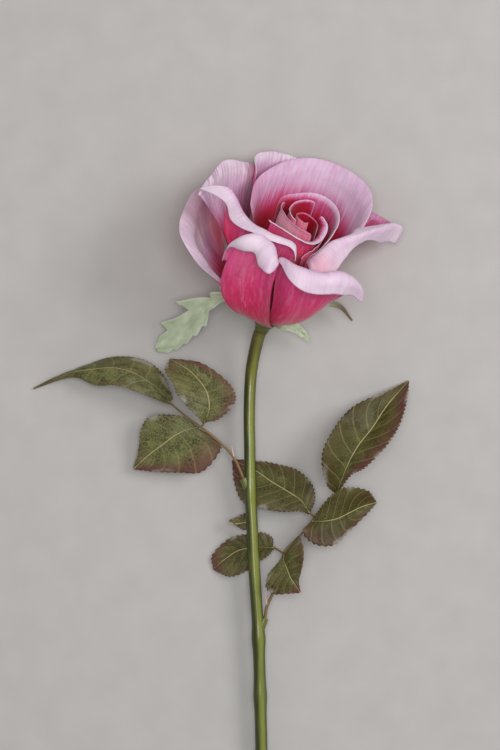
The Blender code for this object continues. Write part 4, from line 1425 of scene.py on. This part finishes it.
@dataclass
class Sprig:
    """One sprig: its wire stalk, a prong under each leaflet, and its leaflets.

    Attributes:
        name: The stalk's solid.
        stub: The line of the stem's stub that takes its peg.
        rachis: The line of the stalk from there to the last leaflet.
        leaves: Its leaflets.
        stipule: A thin point beside the stalk, from its foot to its tip.
    """

    name: str
    stub: tuple[Point, Point]
    rachis: tuple[Point, ...]
    leaves: tuple[Leaf, ...]
    stipule: tuple[Point, Point]

    # The stalk's radius and how it thins, and where the peg, the prongs and the stipules lie.
    RADIUS = 0.75
    TAPER = 0.6
    PEG_START = 0.52
    PRONG_RADIUS = 0.4
    PRONG_SHARE = 0.55
    PRONG_KNOTS = 5
    STIPULE_RADII = (0.45, 0.12)
    KNOTS = 80

    def prong(self, leaf: Leaf, knots: Sequence[Vector]) -> bpy.types.Mesh:
        """Makes the rib that carries a leaflet.

        Args:
            leaf: The leaflet.
            knots: Points along the stalk, the nearest of which it leaves from.

        Returns:
            The prong's mesh.
        """
        foot = min(knots, key=lambda knot: (knot - leaf.own @ leaf.point(0, 0)).length)
        under = Vector((0, 0, Leaf.CLOTH / 2 + self.PRONG_RADIUS))
        places = [self.PRONG_SHARE * i / self.PRONG_KNOTS for i in range(self.PRONG_KNOTS + 1)]
        path = [foot, *(leaf.own @ leaf.point(0, place) - under for place in places)]
        return Rod(leaf.name + "_prong", lambda t: along_points(path, t),
                   lambda t: self.PRONG_RADIUS * blend(1.3, 0.5, t)).mesh(10, 24)

    def build(self, wire: Material, cloth: Material) -> None:
        """Makes the stalk and its leaflets.

        Args:
            wire: The stalk's material.
            cloth: The leaflets' material.
        """
        low, high = Vector(self.stub[0]), Vector(self.stub[1])
        run = [low.lerp(high, self.PEG_START), high, *(Vector(p) for p in self.rachis)]
        parts = [Rod(self.name + "_rod", lambda t: along_points(run, t),
                     lambda t: self.RADIUS * blend(1, self.TAPER, t)).mesh(16, 80)]
        knots = [along_points(run, i / self.KNOTS) for i in range(self.KNOTS + 1)]
        for leaf in self.leaves:
            parts.append(self.prong(leaf, knots))
            leaf.build(cloth)
        foot, tip = (Vector(end) for end in self.stipule)
        parts.append(Rod(self.name + "_stipule", lambda t: foot.lerp(tip, t),
                         lambda t: blend(*self.STIPULE_RADII, t), bark=lambda u, t: 0.9).mesh(10, 6))
        add_piece(joined(self.name, parts), (wire,), "stalk_wire", self.name)
        log.info("%s: %d leaflets", self.name, len(self.leaves))


SPRIGS = (
    Sprig("left_sprig_stalk", LEFT_STUB,
          ((-10.8, -71.1, 11.4), (-14.4, -63.4, 12.6), (-20, -57.1, 13.6), (-28.3, -50.2, 13.6),
           (-35.3, -45.2, 13.5), (-43.3, -38.7, 11.0)),
          LEFT_LEAVES, ((-14.4, -63.4, 12.6), (-15.6, -57.8, 14))),
    Sprig("right_sprig_stalk", RIGHT_STUB,
          ((0.6, -131, 9.2), (3.2, -125, 9.6), (5.6, -116.8, 10), (8.2, -107, 10.4), (11.9, -102.4, 10.8),
           (16, -98.3, 11.2), (21.2, -91.9, 11.8), (26.5, -85.8, 12.6), (31.8, -80.2, 13.0)),
          RIGHT_LEAVES, ((0.6, -131, 9.2), (-0.4, -123, 11))),
)


@dataclass(frozen=True)
class SepalCloth:
    """Stiffened cotton lawn, dyed a pale sage and die-cut with teeth.

    Attributes:
        light: The sage in the light.
        shade: The sage where the dye gathers.
        frayed: The bare thread ends at the cut.
        back: The tan of the underside's sizing at the foot, also laid as a plain brown on a brown tip.
        cloud: The width and length of the places where the dye gathers, in millimetres.
        thread: Its threads, drawn about twice as coarse as real lawn so that they show.
    """

    light: str = "CBD6B9"
    shade: str = "A0AE8B"
    frayed: str = "DEE2D2"
    back: str = "5E4428"
    cloud: Pair = (3.5, 6.0)
    thread: float = 0.5

    def material(self) -> Material:
        """Makes the sepal's matt cloth with its fine grain.

        Returns:
            Its material.
        """
        skin = Surface("sized_cotton_sepal")
        sage = skin.add("ValToRGB", skin.grain(*self.cloud, 4.0),
                        stops=((0.3, self.shade), (0.7, self.light)))
        colour = skin.lay(sage, ("margin", self.frayed), ("foot", self.back))
        weave = skin.grain(self.thread, self.thread)
        return skin.dress({"Base Color": colour, "Roughness": 0.7}, weave, 0.4, 0.15)


# The ring of cloth that the sepals are cut in one piece with, in the head frame.
RING_HOLE = 3.9
RING_RADIUS = 5.4
RING_HEIGHT = -1.375


def on_ring(azimuth: float, radius: float) -> Vector:
    """Returns the design-frame point of the sepals' ring at an azimuth in radians."""
    return HEAD @ Vector((radius * math.cos(azimuth), radius * math.sin(azimuth), RING_HEIGHT))


@dataclass
class Sepal(Blank):
    """One arm of the sepal star, in millimetres.

    Attributes:
        name: Its name.
        turn: The azimuth at which it leaves the ring.
        spine: Its middle line in the design frame, from the ring to the tip.
        left: The half width along its left side, as (place, width) pairs, seen with the tip up.
        right: The same along its right side.
        brown_tip: How brown its tip is.
    """

    turn: float
    spine: tuple[Point, ...]
    left: tuple[Pair, ...]
    right: tuple[Pair, ...]
    brown_tip: float = 0.0

    # How an arm leaves the ring, how far to each side its direction is read, how its teeth lean,
    # its flat size, the cloth, and the grid it is bent from.
    HALF_ARM = 22.5
    ROOT_SHARE = 0.08
    STRIDE = 0.04
    LEAN = 0.45
    PLAIN_WIDTH = 4.4
    FLAT_HALF = 5.0
    FLAT_LENGTH = 50.0
    CLOTH = 0.36
    COLUMNS = 24
    ROWS = 140

    @cached_property
    def middle(self) -> tuple[Vector, ...]:
        """The middle line from the ring to the tip, in the design frame."""
        return on_ring(math.radians(self.turn), RING_RADIUS), *(Vector(p) for p in self.spine)

    def place(self, u: float, v: float) -> Vector:
        """Lays the arm along its middle line, with its teeth leaning towards the tip.

        Args:
            u: The place across, from 0 to 1.
            v: The place along, from 0 to 1.

        Returns:
            The design-frame point.
        """
        x = 2 * u - 1
        root = on_ring(math.radians(self.turn - self.HALF_ARM * x), RING_RADIUS)
        before, after = max(v - self.STRIDE, 0), min(v + self.STRIDE, 1)
        ahead = along_points(self.middle, after) - along_points(self.middle, before)
        side = ahead.cross(Vector((0, 0, 1))).normalized()
        width = polyline(self.right if x > 0 else self.left, v)
        lean = self.LEAN * max(width - self.PLAIN_WIDTH, 0.0) * abs(x)
        spot = along_points(self.middle, v) + side * width * x + ahead.normalized() * lean
        return root.lerp(spot, ease(v / self.ROOT_SHARE))

    def flat(self, u: float, v: float) -> Pair:
        """Returns the flat cloth's own coordinates there."""
        return (2 * u - 1) * self.FLAT_HALF, v * self.FLAT_LENGTH

    def marks(self, u: float, v: float) -> dict[str, float]:
        """Returns how full the tan at the foot and the brown at the tip are, and how bare the thread ends are
        there.
        """
        return {"foot": 0.7 * ease(1 - v / 0.2) + self.brown_tip * ease((v - 0.6) / 0.3),
                "margin": 0.6 * ease((abs(2 * u - 1) - 0.82) / 0.18)}

    def relief(self, u: float, v: float) -> float:
        """Returns the depth of the crease along the middle and of the cloth's waves."""
        return -0.3 * math.exp(-((2 * u - 1) / 0.12) ** 2) + 0.25 * ripple(self.turn, 3 * u, 6 * v)

    def build(self, cloth: Material) -> None:
        """Makes the arm and dresses it."""
        arm = add_piece(self.mesh(self.COLUMNS, self.ROWS, Vector((0, 0, 1))), (cloth,), "sepal_cloth")
        thicken(arm, self.CLOTH)


# The margin of a sepal that lies under the flower, with a tooth half way along.
PLAIN_MARGIN = ((0, 3), (0.3, 4), (0.5, 5), (0.53, 3.6), (0.71, 3.8), (0.73, 2.8), (1, 0.3))

SEPALS = (
    Sepal("sepal_left", 180, (
        (-10.4, 5.5, 20.5), (-15.3, 8.9, 21), (-20.8, 9.1, 20.5), (-26.6, 6.4, 18.5), (-31.7, 1.1, 15),
        (-37.3, -4.7, 10.5), (-43.8, -9.7, 5.5), (-50.3, -13.9, 1.2)),
          ((0, 3), (0.25, 1.5), (0.36, 1.9), (0.46, 3.2), (0.53, 2.9), (0.58, 5), (0.62, 6.6),
           (0.64, 5.1), (0.71, 6.3), (0.73, 4.9), (0.79, 6.1), (0.81, 4.8), (0.87, 5.6), (0.89, 4.2),
           (0.94, 4.4), (0.96, 2.9), (1, 1)),
          ((0, 3), (0.22, 1.6), (0.34, 2.3), (0.435, 3.9), (0.45, 1.5), (0.51, 4.4), (0.605, 11.8),
           (0.625, 4.2), (0.72, 6.1), (0.828, 9.2), (0.845, 4.2), (0.92, 4.3), (0.94, 3.4), (1, 0.9))),
    Sepal("sepal_back_left", 135, (
        (-7, 5, 13.5), (-10.5, 9, 10.5), (-14, 12.5, 8), (-18, 16, 5.5), (-22, 19, 3), (-26, 21.5, 1)),
          PLAIN_MARGIN, PLAIN_MARGIN),
    Sepal("sepal_back", 90, (
        (0.2, 5.5, 11.5), (1.2, 9, 8), (2.2, 12.5, 5.2), (3, 16, 3), (3.6, 20, 1.6), (4, 24, 0.9)),
          PLAIN_MARGIN, PLAIN_MARGIN),
    Sepal("sepal_back_right", 45, (
        (7.5, 1.5, 13), (13, 4.5, 11), (20, 6.5, 9.5), (27, 7.5, 9.5), (34, 5.5, 10.5), (39.3, -0.9, 10)),
          ((0, 2.5), (0.3, 3), (0.5, 3), (0.53, 2.2), (0.71, 2), (0.73, 1.4), (1, 0.3)),
          ((0, 2.5), (0.3, 3), (0.43, 3), (0.46, 2.2), (0.65, 2.2), (0.8, 1.4), (1, 0.3)), 0.9),
    Sepal("sepal_right", 0, (
        (8.5, -3, 16.5), (11.5, -3.6, 14.8), (14.5, -5, 13), (17, -7, 11), (18.8, -8.8, 9), (20.4, -10.6, 7)),
          ((0, 2.2), (0.43, 2.2), (0.71, 1.7), (0.73, 1.2), (1, 0.2)),
          ((0, 2.2), (0.35, 2.2), (0.71, 1.6), (1, 0.2))),
)


@dataclass
class SepalRing(Blank):
    """The ring of cloth between the petals and the hip, which stands for the whole star."""

    SEAM = Seam.RING

    def place(self, u: float, v: float) -> Vector:
        """Returns the design-frame point at (u, v), with u running round the ring."""
        return on_ring(2 * math.pi * u, blend(RING_HOLE, RING_RADIUS, v))

    def flat(self, u: float, v: float) -> Pair:
        """Returns the flat cloth's own coordinates there."""
        return 30 * u, v

    def marks(self, u: float, v: float) -> dict[str, float]:
        """Returns the tan sizing, which is even."""
        return {"foot": 0.6}

    def build(self, cloth: Material) -> None:
        """Makes the ring and dresses it."""
        ring = add_piece(self.mesh(64, 3, HEAD.to_3x3().col[2]), (cloth,), "sepal_cloth", "sepal_star")
        thicken(ring, Sepal.CLOTH)


@dataclass
class SepalStar:
    """The sepals: a ring of cloth round the hip's neck with five arms."""

    ring: SepalRing = field(default_factory=lambda: SepalRing("sepal_ring"))
    arms: tuple[Sepal, ...] = SEPALS
    cloth: SepalCloth = SepalCloth()

    def build(self) -> None:
        """Makes the ring and its arms in one cloth."""
        finish = self.cloth.material()
        for part in (self.ring, *self.arms):
            part.build(finish)
            log.info("%s made", part.name)


@dataclass(frozen=True)
class HipMoulding:
    """Injection-moulded polyethylene in leaf green, left satin and a little cloudy by the mould.

    Attributes:
        light: The green of its lightest clouds.
        dark: The green of its darkest.
        cloud: The size of a cloud, in millimetres.
    """

    light: str = "64642C"
    dark: str = "3F4119"
    cloud: float = 4.0

    def dress(self, solid: bpy.types.Object) -> None:
        """Gives the hip's solid its finish.

        Args:
            solid: The hip.
        """
        skin = Surface("hip_polyethylene")
        spot = skin.add("TexCoord", out="Object")
        cloudy = skin.add("TexNoise", spot, named={"Scale": 1 / (self.cloud * MM), "Detail": 2.0})
        colour = skin.add("ValToRGB", cloudy, stops=((0.3, self.dark), (0.7, self.light)))
        gloss = skin.add("MapRange", cloudy, named={"To Min": 0.32, "To Max": 0.5})
        solid.data.materials.clear()
        solid.data.materials.append(skin.dress({"Base Color": colour, "Roughness": gloss}))


@dataclass
class Studio:
    """A pale paper table, two soft lamps and a camera that looks straight down.

    Attributes:
        floor: The table's two greys.
        flecks: How many of its flecks go to a metre.
        floor_size: The table's width, in metres.
        lamps: Each lamp's name, its place among the solids in metres, and its power in watts.
        lamp_size: A lamp's width, in metres.
        sky: The strength of the white light from all round.
    """

    floor: tuple[str, str] = ("B9B6B3", "BEBBB8")
    flecks: float = 60.0
    floor_size: float = 6.0
    lamps: tuple[tuple[str, Point, float], ...] = (
        ("key", (0.85, 0.45, 0.85), 5.4), ("fill", (0.05, 0.15, 1.25), 6.4))
    lamp_size: float = 0.5
    sky: float = 0.34

    # What the lamps look at, in the design frame.
    AIM = (0, 0, 30)

    def hang_lamps(self) -> None:
        """Hangs the square soft lamps, which look at the flower."""
        for name, spot, power in self.lamps:
            light = bpy.data.lights.new(name, "AREA")
            light.energy = power
            light.size = self.lamp_size
            made = add_object(name, light)
            made.location = spot
            aim = placed(Vector(self.AIM)) - Vector(spot)
            made.rotation_euler = aim.to_track_quat("-Z", "Y").to_euler()

    def set_camera(self) -> None:
        """Puts the camera over the flower at the photograph's framing."""
        data = bpy.data.cameras.new("camera")
        data.sensor_fit = "VERTICAL"
        data.sensor_height = SENSOR_HEIGHT
        data.lens = SENSOR_HEIGHT * CAMERA_DISTANCE / (PICTURE_HEIGHT * MM_PER_PIXEL)
        made = add_object("camera", data)
        made.location = placed(Vector(PICTURE_MIDDLE)) + Vector((0, 0, CAMERA_DISTANCE * MM))
        bpy.context.scene.camera = made

    def lay_table(self) -> None:
        """Lays the table that the flower lies on."""
        bm = bmesh.new()
        bmesh.ops.create_grid(bm, x_segments=1, y_segments=1, size=self.floor_size / 2)
        mesh = bpy.data.meshes.new("table")
        bm.to_mesh(mesh)
        bm.free()
        skin = Surface("matt_paper")
        fleck = skin.add("TexNoise", skin.add("TexCoord", out="Object"), named={"Scale": self.flecks})
        colour = skin.add("ValToRGB", fleck, stops=((0.3, self.floor[0]), (0.7, self.floor[1])))
        mesh.materials.append(skin.dress({"Base Color": colour, "Roughness": 0.9}))
        made = add_object("table", mesh)

    def build(self) -> None:
        """Sets up the whole studio."""
        self.lay_table()
        self.set_camera()
        self.hang_lamps()
        world = bpy.data.worlds.new("studio")
        bpy.context.scene.world = world
        world.use_nodes = True
        back = world.node_tree.nodes["Background"]
        back.inputs["Color"].default_value = (1, 1, 1, 1)
        back.inputs["Strength"].default_value = self.sky
        bpy.context.scene.view_settings.view_transform = "Standard"


def main() -> None:
    """Builds the flower and the studio round it."""
    logging.basicConfig(level=logging.INFO, format="%(name)s: %(message)s")
    Studio().build()
    Bloom().build()
    SepalStar().build()
    HipMoulding().dress(frame["nodes"]["hip"])
    # The stem's light green is painted as a highlight in a strip along its top.
    stem = Moulding("moulded_stem_polyethylene", light="80863A", dark="363C14", bark="5C4A1E",
                    roughness=(0.16, 0.32))
    stalk = Moulding("stalk_flocked_wire", light="93764A", dark="5A4322", bark="E7C9C4",
                     roughness=(0.35, 0.55))
    Stem().build(stem.material())
    wire, cloth = stalk.material(), LEAF_CLOTH.material()
    for sprig in SPRIGS:
        sprig.build(wire, cloth)
    BRACT.build(cloth)


if __name__ == "__main__":
    main()
